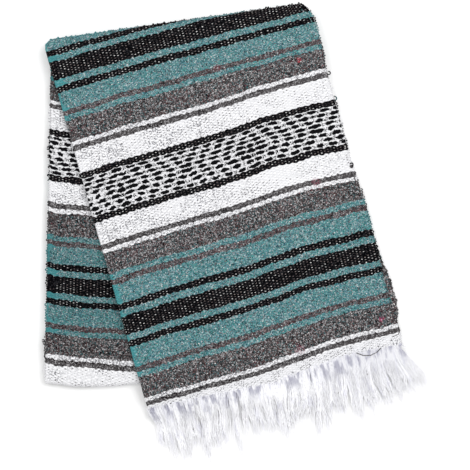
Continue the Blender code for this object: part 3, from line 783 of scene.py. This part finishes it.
def make_bunch(number, tassel):
    """A bunch of the fringe: locks of soft yarn that leave the cloth at uneven places and fray."""
    draw = random.Random(100 + number)
    marks = 24
    line = tassel_line(tassel, marks)
    thin = tassel.yarns < 8
    fan = tassel.width > 0.025
    before = TASSELS[number - 2].across if number > 1 else -0.03
    after = TASSELS[number].across if number < len(TASSELS) else 1.01
    left = 0.0032 if thin else min((tassel.across - before) * FLAP_WIDTH * 0.51, 0.0120)
    right = 0.0060 if thin else min((after - tassel.across) * FLAP_WIDTH * 0.51, 0.0120)
    root, shift = left + right, (right - left) / 2
    spread = tassel.width * (1.36 if thin or fan or number in (3, 4, 5) else 1.54)
    lock_count = 1 if thin else (3 if tassel.yarns > 11 else 2)
    locks = []
    for lock in range(lock_count):
        centre = (lock + 0.5) / lock_count - 0.5
        swing = 0.13 * centre + draw.uniform(-0.08, 0.08)
        locks.append((centre, swing, draw.uniform(0.88, 1.03), draw.uniform(0, math.tau)))

    def trail(place, lock, reach, wave, phase, tier, points, inset):
        centre, swing, length, turn = lock
        start = -inset / tassel.reach
        leaves = min(max(tassel.across + (place * root + shift) / FLAP_WIDTH, 0.002), 0.998)
        top = flap_point(leaves, 0.0, 0.0, inset / FLAP_LENGTH).z
        trace = []
        for step in range(points):
            share = start + (reach * length - start) * step / (points - 1)
            spot, way = read_line(line, share * marks)
            side = END_WEFT.lerp(Vector((-way.y, way.x)), ease(share / 0.3))
            opened = min(share * 1.25, 1.0) if fan and share > 0 else ease(share / 0.45)
            closed = 1 - 0.22 * ease((share - 0.6) / 0.5)
            wide = root + (spread - root) * opened
            wide *= 1 - 0.08 * math.exp(-(((share - 0.10) / 0.07) ** 2))
            offset = centre * wide + (place - centre) * (root + (wide - root) * closed)
            offset += shift * (1 - ease(share / 0.4))
            if fan and place > 0:
                offset += 0.005 * place * ease(share)
            offset += swing * tassel.reach * ease((share - 0.3) / 0.8) * 0.6
            sway = wave * math.sin(5.0 * share + phase) * opened
            offset += sway + 0.0016 * math.sin(7.5 * share + turn) * opened
            stray = fine(share * 0.05, place * 0.05 + phase, 60, number * 4.0)
            offset += 0.0034 * stray * ease((share - 0.35) / 0.6)
            spot = spot + side * offset
            ground = drape(spot.x, spot.y) + YARN_REST
            height = top - 0.0010 + 0.0016 * ease((share - start) / 0.05)
            height += (ground + tier - height) * ease((share - 0.01) / 0.42)
            trace.append((Vector((spot.x, spot.y, max(height, ground + tier * 0.6))), side, share - start))
        return trace

    def lock_of(place):
        return locks[min(max(int((place + 0.5) * lock_count), 0), lock_count - 1)]

    def longer(place, gain):
        return 1 + gain * max(place, 0.0) if fan else 1.0

    strands = []
    yarn_count = round(tassel.yarns * 1.25)
    for yarn in range(yarn_count):
        place = (yarn + 0.5) / yarn_count - 0.5 + draw.uniform(-0.05, 0.05)
        reach = draw.uniform(0.70, 1.06) * longer(place, 0.60)
        tier = 0.0008 + 0.0032 * draw.random() * (1 - abs(place))
        inset = 0.0012 + 0.0052 * draw.random() ** 1.6
        wave, phase = draw.uniform(0.0003, 0.0012), draw.uniform(0, math.tau)
        trace = trail(place, lock_of(place), reach, wave, phase, tier, YARN_POINTS, inset)
        twist = draw.uniform(0, math.tau)
        thick = draw.uniform(0.0008, 0.0011)
        for ply in range(2):
            strand = []
            for spot, side, share in trace:
                wound = share * tassel.reach / PLY_TWIST * math.tau * (1 - 0.35 * share)
                turn = twist + math.pi * ply + wound
                wide = 0.00060 + 0.0012 * ease((share - 0.4) / 0.6)
                point = spot + Vector((side.x, side.y, 0)) * (wide * math.cos(turn))
                point.z += 0.00055 * math.sin(turn)
                radius = thick * (1 - 0.66 * ease((share - 0.5) / 0.5)) * (0.45 + 0.55 * ease(share / 0.07))
                strand.append((point, radius))
            strands.append(strand)
    for hair in range(tassel.yarns * 8):
        place = draw.uniform(-0.60, 0.60) * STRAY_HAIRS.get(number, 1.0)
        tier = 0.001 + 0.0042 * draw.random()
        inset = 0.0060 * draw.random()
        reach = draw.uniform(0.50, 1.16) * longer(place, 0.50)
        wave, phase = draw.uniform(0.0005, 0.0034), draw.uniform(0, math.tau)
        trace = trail(place, lock_of(place), reach, wave, phase, tier, HAIR_POINTS, inset)
        strands.append([(spot, HAIR_RADIUS * (1 - 0.5 * share)) for spot, side, share in trace])
    return yarn_curve(f"fringe_{number:02d}", strands, 1)


def edge_turns(name, places, seed, pattern):
    """The weft's small turns along an edge, each a loop in the colour of its stripe."""
    draw = random.Random(seed)
    strands = []
    for spot, out in places:
        reach = draw.uniform(0.0008, 0.0022) + (0.0014 if draw.random() < 0.22 else 0.0)
        tall = draw.uniform(0.0009, 0.0018)
        slip = draw.uniform(-0.0007, 0.0005)
        thick = draw.uniform(0.0006, 0.0010)
        strand = []
        way = Vector((-out.y, out.x, 0))
        for step in range(7):
            turn = math.pi * (step / 6)
            point = spot + Vector((out.x, out.y, 0)) * (reach * math.sin(turn) + slip)
            point = point + way * (tall * math.cos(turn)) + Vector((0, 0, draw.uniform(-0.0003, 0.0003)))
            strand.append((point, thick))
        strands.append(strand)
    piece = yarn_curve(name, strands)
    map_yarns(piece, lambda corner: pattern(corner.co.xy))
    return piece


def top_of_flap(x, y):
    """Height of the flap's face, or of the fringe past the woven end."""
    past = (Vector((x, y)) - FLAP_END_LEFT).dot(END_OUT)
    return drape(x, y) + FLAP_RISE - 0.0038 * ease((past - 0.009) / 0.03)


def make_loose_yarns(name, rows, surface):
    """Yarns carried along a side from one stripe to the next, loops that stand out of it, and thin dark lines
    painted as shadows.
    """
    strands = []
    for row in rows:
        arc = len(row.places) > 1
        if arc:
            marks = through(row.places) + [Vector(row.places[-1])]
        else:
            turns = [math.radians(150 - 30 * step) for step in range(11)]
            ring = [Vector((math.cos(turn) * 1.2, math.sin(turn))) for turn in turns]
            marks = [Vector(row.places[0]) + spot * row.size for spot in ring]
        # Arcs with a size of their own are dark lines painted as shadows, laid a little above the cloth
        free = arc and row.size > 0
        thick = row.size if free else (0.00085 if arc else 0.0010)
        lift = 0.0025 if free else 0.0001
        strands.append([((spot.x, spot.y, surface(spot.x, spot.y) + lift), thick) for spot in marks])
    piece = yarn_curve(name, strands, 1)
    picks = [next(stripe.upto for stripe in STRIPES if stripe.yarn == row.yarn) - 1.5 for row in rows]
    nearest = []
    for corner in piece.data.vertices:
        gaps = [min((corner.co - Vector(point)).length for point, radius in strand) for strand in strands]
        nearest.append(gaps.index(min(gaps)))
    map_yarns(piece, lambda corner: picks[nearest[corner.index]] * PICK)
    return piece


def make_heading():
    """Thick white weft along the woven end: one long cord and short floats over the fringe's roots."""
    draw = random.Random(31)
    strands = []

    def lay(across, inset, wave, lift, radius):
        spot = flap_point(across, 0.0, 0.0, max(inset, 0.0) / FLAP_LENGTH)
        place = END_OUT * (woven_edge(across) * (1 - ease(inset / 0.007)) + wave - min(inset, 0.0))
        return (spot.x + place.x, spot.y + place.y, spot.z + lift), radius

    cord = []
    for across in shares(CORD_POINTS - 1):
        wave = 0.0012 * wander(across * 34, 1.0, 5.0)
        radius = 0.0009 + 0.0004 * wander(across * 60, 1.0, 8.0)
        cord.append(lay(across, 0.0010, wave, -0.0006 + 0.0006 * math.sin(across * 260), radius))
    strands.append(cord)
    for number in range(FLOATS):
        middle = draw.random()
        inset = -0.0008 + 0.0050 * draw.random() ** 1.3
        reach = draw.uniform(0.004, 0.012)
        skew = draw.uniform(-0.35, 0.35)
        strand = []
        for step in range(8):
            along = (step / 7 - 0.5) * reach
            swell = math.sin(math.pi * step / 7)
            across = min(max(middle + along / FLAP_WIDTH, 0.0), 1.0)
            lift, radius = 0.0009 * swell - 0.0009, 0.0004 + 0.0005 * swell
            strand.append(lay(across, inset + along * skew, 0.0, lift, radius))
        strands.append(strand)
    for number in range(FUZZ):
        across = draw.random()
        inset = 0.0004 + 0.0020 * draw.random()
        reach = draw.uniform(0.006, 0.022)
        skew = draw.uniform(-0.6, 0.6)
        (x, y, top), radius = lay(across, inset, 0.0, 0.0, 0.0)
        strand = []
        for step in range(7):
            share = step / 6
            way = (END_OUT + END_WEFT * (skew + 0.5 * math.sin(number + 3 * share))) * (reach * share)
            spot = Vector((x, y)) + way
            ground = drape(spot.x, spot.y) + 0.003
            height = top + (ground - top) * 0.55 * ease(share)
            strand.append(((spot.x, spot.y, height), 0.00045 * (1 - 0.5 * share)))
        strands.append(strand)
    sagging = [(spot.x, spot.y, top_of_flap(spot.x, spot.y) + 0.0004) for spot in through(SAG)]
    strands.append([(point, 0.0013) for point in sagging])
    return yarn_curve("heading", strands, 1)


class Reading:
    """A value in a finish's node tree, to reckon with as with a number."""

    def __init__(self, socket):
        self.socket = socket

    def __add__(self, other):
        return maths("ADD", self, other)

    def __sub__(self, other):
        return maths("SUBTRACT", self, other)

    def __rsub__(self, other):
        return maths("SUBTRACT", other, self)

    def __mul__(self, other):
        return maths("MULTIPLY", self, other)

    def __truediv__(self, other):
        return maths("DIVIDE", self, other)

    def __pow__(self, other):
        return maths("POWER", self, other)

    def __abs__(self):
        return maths("ABSOLUTE", self)

    def above(self, level):
        return maths("GREATER_THAN", self, level)

    def below(self, level):
        return maths("LESS_THAN", self, level)

    def within(self, low, high):
        return maths("COMPARE", self, (low + high) / 2, (high - low) / 2)

    def scaled(self, factor, start):
        """Times a factor, counted on from a start."""
        return maths("MULTIPLY_ADD", self, factor, start)

    def eased(self, low, high, to_low=0.0, to_high=1.0):
        """Brought from one range to another, with level ends."""
        inputs = (self, low, high, to_low, to_high)
        return add_node(tree_of(self), "MapRange", inputs, interpolation_type="SMOOTHSTEP")[0]


def tree_of(*values):
    """The node tree that the first reading among some values is in."""
    return next(value.socket.id_data for value in values if isinstance(value, Reading))


def plug(value, socket):
    """Set a node's input to a number or a colour, or link a reading to it."""
    if isinstance(value, Reading):
        socket.id_data.links.new(value.socket, socket)
    else:
        socket.default_value = (*value, 1.0) if socket.type == "RGBA" else value


def add_node(tree, kind, inputs=(), **settings):
    """A new node with its settings and its inputs, given as the readings of its outputs."""
    node = tree.nodes.new("ShaderNode" + kind)
    for name, setting in settings.items():
        setattr(node, name, setting)
    for place, value in inputs.items() if isinstance(inputs, dict) else enumerate(inputs):
        plug(value, node.inputs[place])
    return [Reading(socket) for socket in node.outputs]


def maths(operation, *values):
    """A sum of values."""
    return add_node(tree_of(*values), "Math", values, operation=operation)[0]


def vector(x, y, z=0.0):
    """A vector from three values."""
    return add_node(tree_of(x, y, z), "CombineXYZ", (x, y, z))[0]


def blend(share, first, second):
    """Two colours mixed by a share."""
    return add_node(tree_of(share), "Mix", {0: share, 6: first, 7: second}, data_type="RGBA")[2]


def cloud(place, scale, detail=2.0):
    """Soft noise over a vector."""
    return add_node(tree_of(place), "TexNoise", {"Vector": place, "Scale": scale, "Detail": detail})[0]


def chance(*numbers):
    """A chance value and a chance colour for each whole number, or each pair of them."""
    tree = tree_of(*numbers)
    if len(numbers) == 1:
        return add_node(tree, "TexWhiteNoise", {"W": numbers[0]}, noise_dimensions="1D")
    return add_node(tree, "TexWhiteNoise", {"Vector": vector(*numbers)}, noise_dimensions="2D")


def stepped(share, stops):
    """A colour ramp in flat steps, given as its colour and its alpha."""
    node = tree_of(share).nodes.new("ShaderNodeValToRGB")
    ramp = node.color_ramp
    ramp.interpolation = "CONSTANT"
    for number, (position, colour) in enumerate(stops):
        stop = ramp.elements.new(position) if number else ramp.elements[0]
        stop.position = position
        stop.color = colour
    ramp.elements.remove(ramp.elements[-1])
    plug(share, node.inputs[0])
    return Reading(node.outputs[0]), Reading(node.outputs[1])


def by_stripe(share, colour, level):
    """A colour and a level of the yarns, one step for each stripe of the half repeat."""
    starts = [0.0] + [stripe.upto for stripe in STRIPES]
    yarns = [YARNS[stripe.yarn] for stripe in STRIPES]
    values = [(*getattr(yarn, colour), getattr(yarn, level)) for yarn in yarns]
    return stepped(share, [(start / HALF_REPEAT, value) for start, value in zip(starts, values)])


def new_finish(name, roughness, specular, sheen=0.0):
    """A new finish with its plain levels, its node tree and its shader's inputs."""
    finish = bpy.data.materials.new(name)
    finish.use_nodes = True
    inputs = finish.node_tree.nodes["Principled BSDF"].inputs
    levels = (("Roughness", roughness), ("Specular IOR Level", specular), ("Sheen Weight", sheen))
    for level, value in levels:
        inputs[level].default_value = value
    return finish, finish.node_tree, inputs


def object_place(tree):
    """The place on a piece in its own axes."""
    return Reading(tree.nodes.new("ShaderNodeTexCoord").outputs["Object"])


def make_cloth_finish(name, tone_share, warp_share):
    """The striped cloth: weft-faced plain weave with heathered yarns and an ikat band."""
    finish, tree, inputs = new_finish(name, roughness=0.95, specular=0.005, sheen=0.003)
    flat = add_node(tree, "UVMap", uv_map="Cloth")[0]
    u, v, _ = add_node(tree, "SeparateXYZ", (flat,))

    # Picks waver along the weft, and swell where they float over the warp
    x = u / WARP_PITCH
    slow = cloud(vector(u, v), 26.0)
    quick = cloud(vector(u, v), 110.0)
    y = v / PICK + (slow - 0.5) * SLOW_WAVER + (quick - 0.5) * QUICK_WAVER
    weave = maths("COSINE", x * math.pi)
    y = y + weave * maths("COSINE", y * math.pi) * SWELL
    row = maths("FLOOR", y)
    in_row = y - row - 0.5
    column = maths("FLOOR", x + 0.5)
    in_column = x - column
    lift = weave * maths("COSINE", row * math.pi)
    floats = lift.scaled(0.5, 0.5)

    # Which stripe a pick belongs to
    folded = maths("PINGPONG", row + 0.5, float(HALF_REPEAT))
    share = folded / float(HALF_REPEAT)
    base, warp_shows = by_stripe(share, "base", "warp")
    light, light_share = by_stripe(share, "light", "light_share")
    dark, dark_share = by_stripe(share, "dark", "dark_share")
    clean, turned = by_stripe(share, "clean", "turned")
    is_white = folded.within(20.0, 43.0)
    is_grey = folded.within(43.0, 58.6)
    narrow_grey = folded.within(63.0, 66.5)
    is_teal = folded.within(53.0, 91.0) * (1.0 - narrow_grey) * (1.0 - folded.within(81.0, 86.0))
    is_teal = is_teal * folded.above(58.5)
    heading = v.eased(*HEADING_START)

    # Cleaner yarn where the weft turns at a side, with a painted highlight on the rounded fold, further in at
    # some picks than at others
    patch = cloud(vector(0.0, v), 34.0)
    reach = patch.eased(0.42, 0.66).scaled(0.017, 0.002) * chance(row)[0].scaled(0.6, 0.7)
    edge = (u - reach).eased(0.002, -0.001) * turned
    calm = 1.0 - maths("MAXIMUM", edge * 0.35, heading * 0.75)

    # Heather: short light and dark flecks along the yarn, and thick and thin white weft
    cells = add_node(tree, "TexVoronoi", {"Vector": vector(u * 680.0, y * 1.80), "Scale": 1.0})
    fleck = add_node(tree, "SeparateColor", (cells[1],))
    thick_and_thin = cloud(vector(u * 0.6, v, 7.0), 30.0).eased(0.38, 0.60, 0.35, 1.35)
    thick_and_thin = thick_and_thin * u.eased(0.06, 0.38, 1.35, 0.50)
    lighter = fleck[0].eased(0.66, 0.90) * light_share * calm
    darker = fleck[0].eased(0.36, 0.12) * dark_share * calm
    darker = darker * is_white.scaled(thick_and_thin - 1.0, 1.0)
    salt = folded.within(39.5, 43.0) * calm * fleck[1].eased(0.34, 0.18, 0.0, 0.80)
    colour = blend(lighter, base, light)
    colour = blend(maths("MAXIMUM", darker, salt), colour, dark)

    # Flecks of other wool: which are chosen, in what stripe, how strong and in what colour
    colour = blend(fleck[1].above(0.994) * is_grey * 0.55, colour, (0.22, 0.03, 0.06))
    plum = slow.eased(0.55, 0.62) * fleck[1].below(0.2) * is_grey * 0.35
    narrow_plum = narrow_grey * fleck[1].below(0.36) * 0.34
    colour = blend(maths("MAXIMUM", plum, narrow_plum), colour, (0.125, 0.052, 0.066))
    heathered = maths("MAXIMUM", is_grey, narrow_grey)
    for chosen, stripe, strength, tint in (
        (fleck[2].above(0.90), heathered, 0.55, (0.045, 0.150, 0.165)),
        (fleck[2].below(0.12), heathered, 0.55, (0.135, 0.062, 0.060)),
        (fleck[2].below(0.30), is_teal, 0.22, (0.060, 0.180, 0.290)),
        (fleck[2].above(0.80), is_teal, 0.40, (0.060, 0.330, 0.290)),
        (fleck[1].above(0.91), is_teal, 0.50, (0.170, 0.120, 0.135)),
    ):
        colour = blend(chosen * stripe * strength, colour, tint)
    plan = object_place(tree)
    for spot in SPOTS:
        gap = add_node(tree, "VectorMath", (plan, (spot.x, spot.y, 0.0)), operation="SUBTRACT")[0]
        right, up, _ = add_node(tree, "SeparateXYZ", (gap,))
        rim = spot.size * spot.size
        near = (right**2.0 + up**2.0).eased(rim, 0.3 * spot.size * spot.size, 0.0, spot.strength)
        colour = blend(near * fleck[2].below(0.6), colour, spot.tint)
    # Painted highlight on the rounded fold at the turned sides, in the lighter, cleaner side colour
    colour = blend(edge * 0.55, colour, clean)

    # The warp, which shows as a dot where a pick dives under it
    away = (in_column / DOT_WIDE) ** 2.0 + (in_row / DOT_TALL) ** 2.0
    dot = away.eased(1.0, 0.35) * lift.below(0.0)
    luck, luck_colour = chance(column, row)
    warp, _ = stepped(luck, [(stop.start, (stop.tone + (1.0,))) for stop in WARP_TONES])
    often = warp_shows * slow.eased(0.36, 0.62, 0.72 * warp_share, 1.20 * warp_share)
    often = often * (1.0 - heading * 0.65)
    lines = chance(column - row)[0].eased(0.30, 0.70, 0.30, 1.45)
    lines = lines * maths("MAXIMUM", thick_and_thin, heading)
    often = often * is_white.scaled(lines - 1.0, 1.0)
    drawn = add_node(tree, "SeparateColor", (luck_colour,))[1]
    seen = dot * drawn.below(often) * (1.0 - edge * 0.8)
    colour = blend(heading * 0.55, colour, (0.83, 0.83, 0.86))
    colour = blend(seen, colour, blend(is_white * 0.50, warp, (0.06, 0.06, 0.07)))
    specks = cloud(vector((u + v) * 190.0, (u - v) * 520.0), 1.0).eased(0.515, 0.61) * heading
    specks = specks * cloud(vector(u, v, 3.0), 60.0).eased(0.40, 0.56, 0.15, 1.0)
    colour = blend(specks * 0.92, colour, (0.12, 0.12, 0.14))

    # The ikat band: rows of dashes that lie round diamonds, one inside the other
    rows = y / IKAT_ROW + 0.5
    ikat_row = maths("FLOOR", rows + 0.5)
    jag = cloud(vector(u, v), 330.0) - 0.5
    in_ikat = rows - ikat_row + jag * 0.42
    diamond = maths("PINGPONG", u + DIAMOND_START, DIAMOND_HALF)
    from_middle = abs(ikat_row - 0.5)
    phase = diamond / DASH_PITCH + from_middle * 0.27
    phase = phase + (quick - 0.5) * 0.55 + in_ikat * 0.14 + jag * 0.22
    dash_number = maths("FLOOR", phase + 0.5)
    in_dash = phase - dash_number
    merged = (diamond / 0.020 + from_middle * 0.35).eased(1.1, 0.4)
    long = chance(dash_number, ikat_row)[0].scaled(0.12, 0.30) + merged * 0.10
    tall = merged.scaled(0.08, 0.41)
    dash = (abs(in_dash / long) ** 2.4 + abs(in_ikat / tall) ** 2.0).eased(1.05, 0.85)
    tick = (0.5 - abs(in_dash)).within(0.025, 0.085) * abs(in_ikat).below(0.34)
    inked = maths("MAXIMUM", dash, tick) * folded.below(14.9)
    colour = blend(inked, colour, (0.006, 0.006, 0.007))

    # Painted shade between picks and on the picks that dive under the warp, and the stripes past the white
    # ones darker by the tone share
    off_middle = abs(in_row * 2.0)
    shade = 1.0 - off_middle**3.0 * 0.22
    shade = shade * floats.scaled(0.10, 0.90)
    shade = shade * abs(folded - 21.5).below(21.5).scaled(1 - tone_share, tone_share)
    toned = add_node(tree, "HueSaturation", {"Value": shade, "Color": colour})[0]
    plug(toned, inputs["Base Color"])

    # Relief of the yarns
    fibres = cloud(vector(u * 500.0, y * 2.4), 1.0, 3.0)
    height = (1.0 - off_middle**2.0) * floats.scaled(0.55, 0.45) + fibres * 0.55 + dot * 0.25
    height = height * (1.0 - is_white * 0.40)
    bump = add_node(tree, "Bump", {"Strength": 0.75, "Distance": 0.0009, "Height": height})[0]
    plug(bump, inputs["Normal"])
    return finish


def make_fringe_finish():
    """Soft white yarn with a fine grain along it."""
    finish, tree, inputs = new_finish("white_yarn", roughness=0.9, specular=0.15, sheen=0.25)
    place = object_place(tree)
    colour = blend(cloud(place, 900.0, 3.0), (0.92, 0.92, 0.95), (0.99, 0.99, 1.0))
    out, side = (
        add_node(tree, "VectorMath", (place, (line.x, line.y, 0.0)), operation="DOT_PRODUCT")[1]
        for line in (END_OUT, END_WEFT)
    )
    start = FLAP_END_LEFT.dot(END_OUT)
    middle = FLAP_END_LEFT.dot(END_WEFT) + 0.24

    # Lavender shade along some yarns, deeper towards the roots and on the right part
    streaks = cloud(vector(side * 150.0, out * 34.0), 1.0, 3.0)
    colour = blend(streaks.eased(0.50, 0.68, 0.0, 0.42), colour, (0.74, 0.74, 0.84))
    colour = blend(out.eased(start + 0.034, start, 0.0, 0.27), colour, ROOT_SHADE)
    right = side.eased(middle, middle + 0.10) * side.eased(middle + 0.190, middle + 0.150)
    right = right * out.eased(start + 0.085, start + 0.020, 0.0, 0.22)
    colour = blend(right, colour, ROOT_SHADE)

    # Painted shade in dark spots between the roots
    far = out + cloud(place, 90.0) * 0.016
    spots = cloud(vector(side * 95.0, out * 30.0, 4.0), 1.0, 3.0)
    root = far.eased(start + 0.040, start + 0.014) * spots.eased(0.455, 0.60)
    root = root * far.eased(start + 0.001, start + 0.008)
    plug(blend(root * 0.85, colour, (0.36, 0.36, 0.44)), inputs["Base Color"])
    return finish


def middles(count):
    """The middles of even shares from nought to one."""
    return [(step + 0.5) / count for step in range(count)]


def crest_pattern(plan):
    """How far along the pattern a turn of weft on the crest lies."""
    return flap_pattern(plan - CREST_OUT * (0.94 * TOP_TURN + 0.0004), CREST_ROW)


def fold_pattern(plan):
    """Stripes met along the inner layers' fold, which vary from charcoal to teal."""
    return (52.5 + 11.0 * fine(plan.x, plan.y, 260, 3.0)) * PICK


def dress(piece, finish, slot, *nodes):
    """Finish a piece, and put it on the body in place of its solids."""
    piece.data.materials.clear()
    piece.data.materials.append(finish)
    if nodes:
        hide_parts(*nodes)
    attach(piece, "root")
    return piece


striped_cloth = make_cloth_finish("striped_cloth", 1.0, 1.0)
striped_cloth_below = make_cloth_finish("striped_cloth_below", 0.84, 0.75)
white_yarn = make_fringe_finish()

flap = make_flap()
strip = make_strip()
strip_layers = make_strip_layers()
flap_layers = make_flap_layers()
dress(flap, striped_cloth, "flap_cloth", "flap_cloth")
dress(strip, striped_cloth_below, "under_cloth", "under_cloth")
dress(strip_layers, striped_cloth, "hidden_layers", "hidden_layers")
dress(flap_layers, striped_cloth, "hidden_layers", "hidden_layers")

for index, row in enumerate(TASSELS, start=1):
    bunch = make_bunch(index, row)
    dress(bunch, white_yarn, "fringe", f"tassel_{index:02d}")

flap_side = [(flap_point(1.0, 0.0, CLOTH / 2, along), FLAP_RIGHTWARDS) for along in middles(136)]
flap_turns = edge_turns("flap_turns", flap_side, 11, flap_pattern)
dress(flap_turns, striped_cloth, "flap_cloth")
crest_side = [(flap_point(across, 0.0, 0.0010, CREST_ROW), CREST_OUT) for across in middles(120)]
crest_turns = edge_turns("crest_turns", crest_side, 14, crest_pattern)
dress(crest_turns, striped_cloth, "flap_cloth")
fold_side = []
for step, middle in enumerate(middles(96)):
    along = 0.02 + 0.31 * middle
    fold = read_table(RIGHT_SIDE, along, "fold") - read_table(RIGHT_SIDE, along, "selvedge")
    deep = CLOTH + GAP + INNER_FLAP * (0.15 + 0.5 * ((step * 7) % 11) / 11)
    fold_side.append((flap_point(1.0, fold - 0.0012, deep, along), FLAP_RIGHTWARDS))
fold_turns = edge_turns("fold_turns", fold_side, 13, fold_pattern)
dress(fold_turns, striped_cloth, "hidden_layers")
strip_side = [(pile_point(0.0, along) - HALF_CLOTH, Vector((-1.0, 0.0))) for along in middles(122)]
strip_turns = edge_turns("strip_turns", strip_side, 12, strip_pattern)
dress(strip_turns, striped_cloth_below, "under_cloth")
flap_loose = make_loose_yarns("flap_loose", FLAP_LOOSE, top_of_flap)
dress(flap_loose, striped_cloth, "flap_cloth")
strip_loose = make_loose_yarns("strip_loose", STRIP_LOOSE, lambda x, y: PILE_TOP)
dress(strip_loose, striped_cloth_below, "under_cloth")
heading = dress(make_heading(), white_yarn, "flap_cloth")

# Floor, light and camera
bpy.ops.mesh.primitive_plane_add(size=8.0, location=(0, 0, -0.0002))
floor = bpy.context.object
floor.name = "floor"
paper, _, paper_inputs = new_finish("paper", roughness=0.9, specular=0.1)
plug((0.94, 0.94, 0.94), paper_inputs["Base Color"])
floor.data.materials.append(paper)

world = bpy.data.worlds.new("studio")
bpy.context.scene.world = world
world.use_nodes = True
backdrop = world.node_tree.nodes["Background"].inputs
backdrop["Color"].default_value = (1.0, 1.0, 1.0, 1.0)
backdrop["Strength"].default_value = 0.88


def softbox(name, place, size, power):
    """A square soft light aimed at the middle of the floor."""
    light = bpy.data.lights.new(name, "AREA")
    light.size = size
    light.energy = power
    lamp = add_object(name, light)
    lamp.location = place
    lamp.rotation_euler = (-Vector(place)).to_track_quat("-Z", "Y").to_euler()


softbox("key_light", (1.2, 1.0, 2.4), 1.6, 34.0)
softbox("fill_light", (-1.6, 0.2, 2.4), 2.2, 14.0)

lens = bpy.data.cameras.new("camera")
camera = add_object("camera", lens)
camera.location = (-0.0023, -0.0016, 2.42)
lens.sensor_width = 36.0
lens.lens = 118.6
lens.clip_start = 0.1
bpy.context.scene.camera = camera
bpy.context.scene.view_settings.view_transform = "Standard"
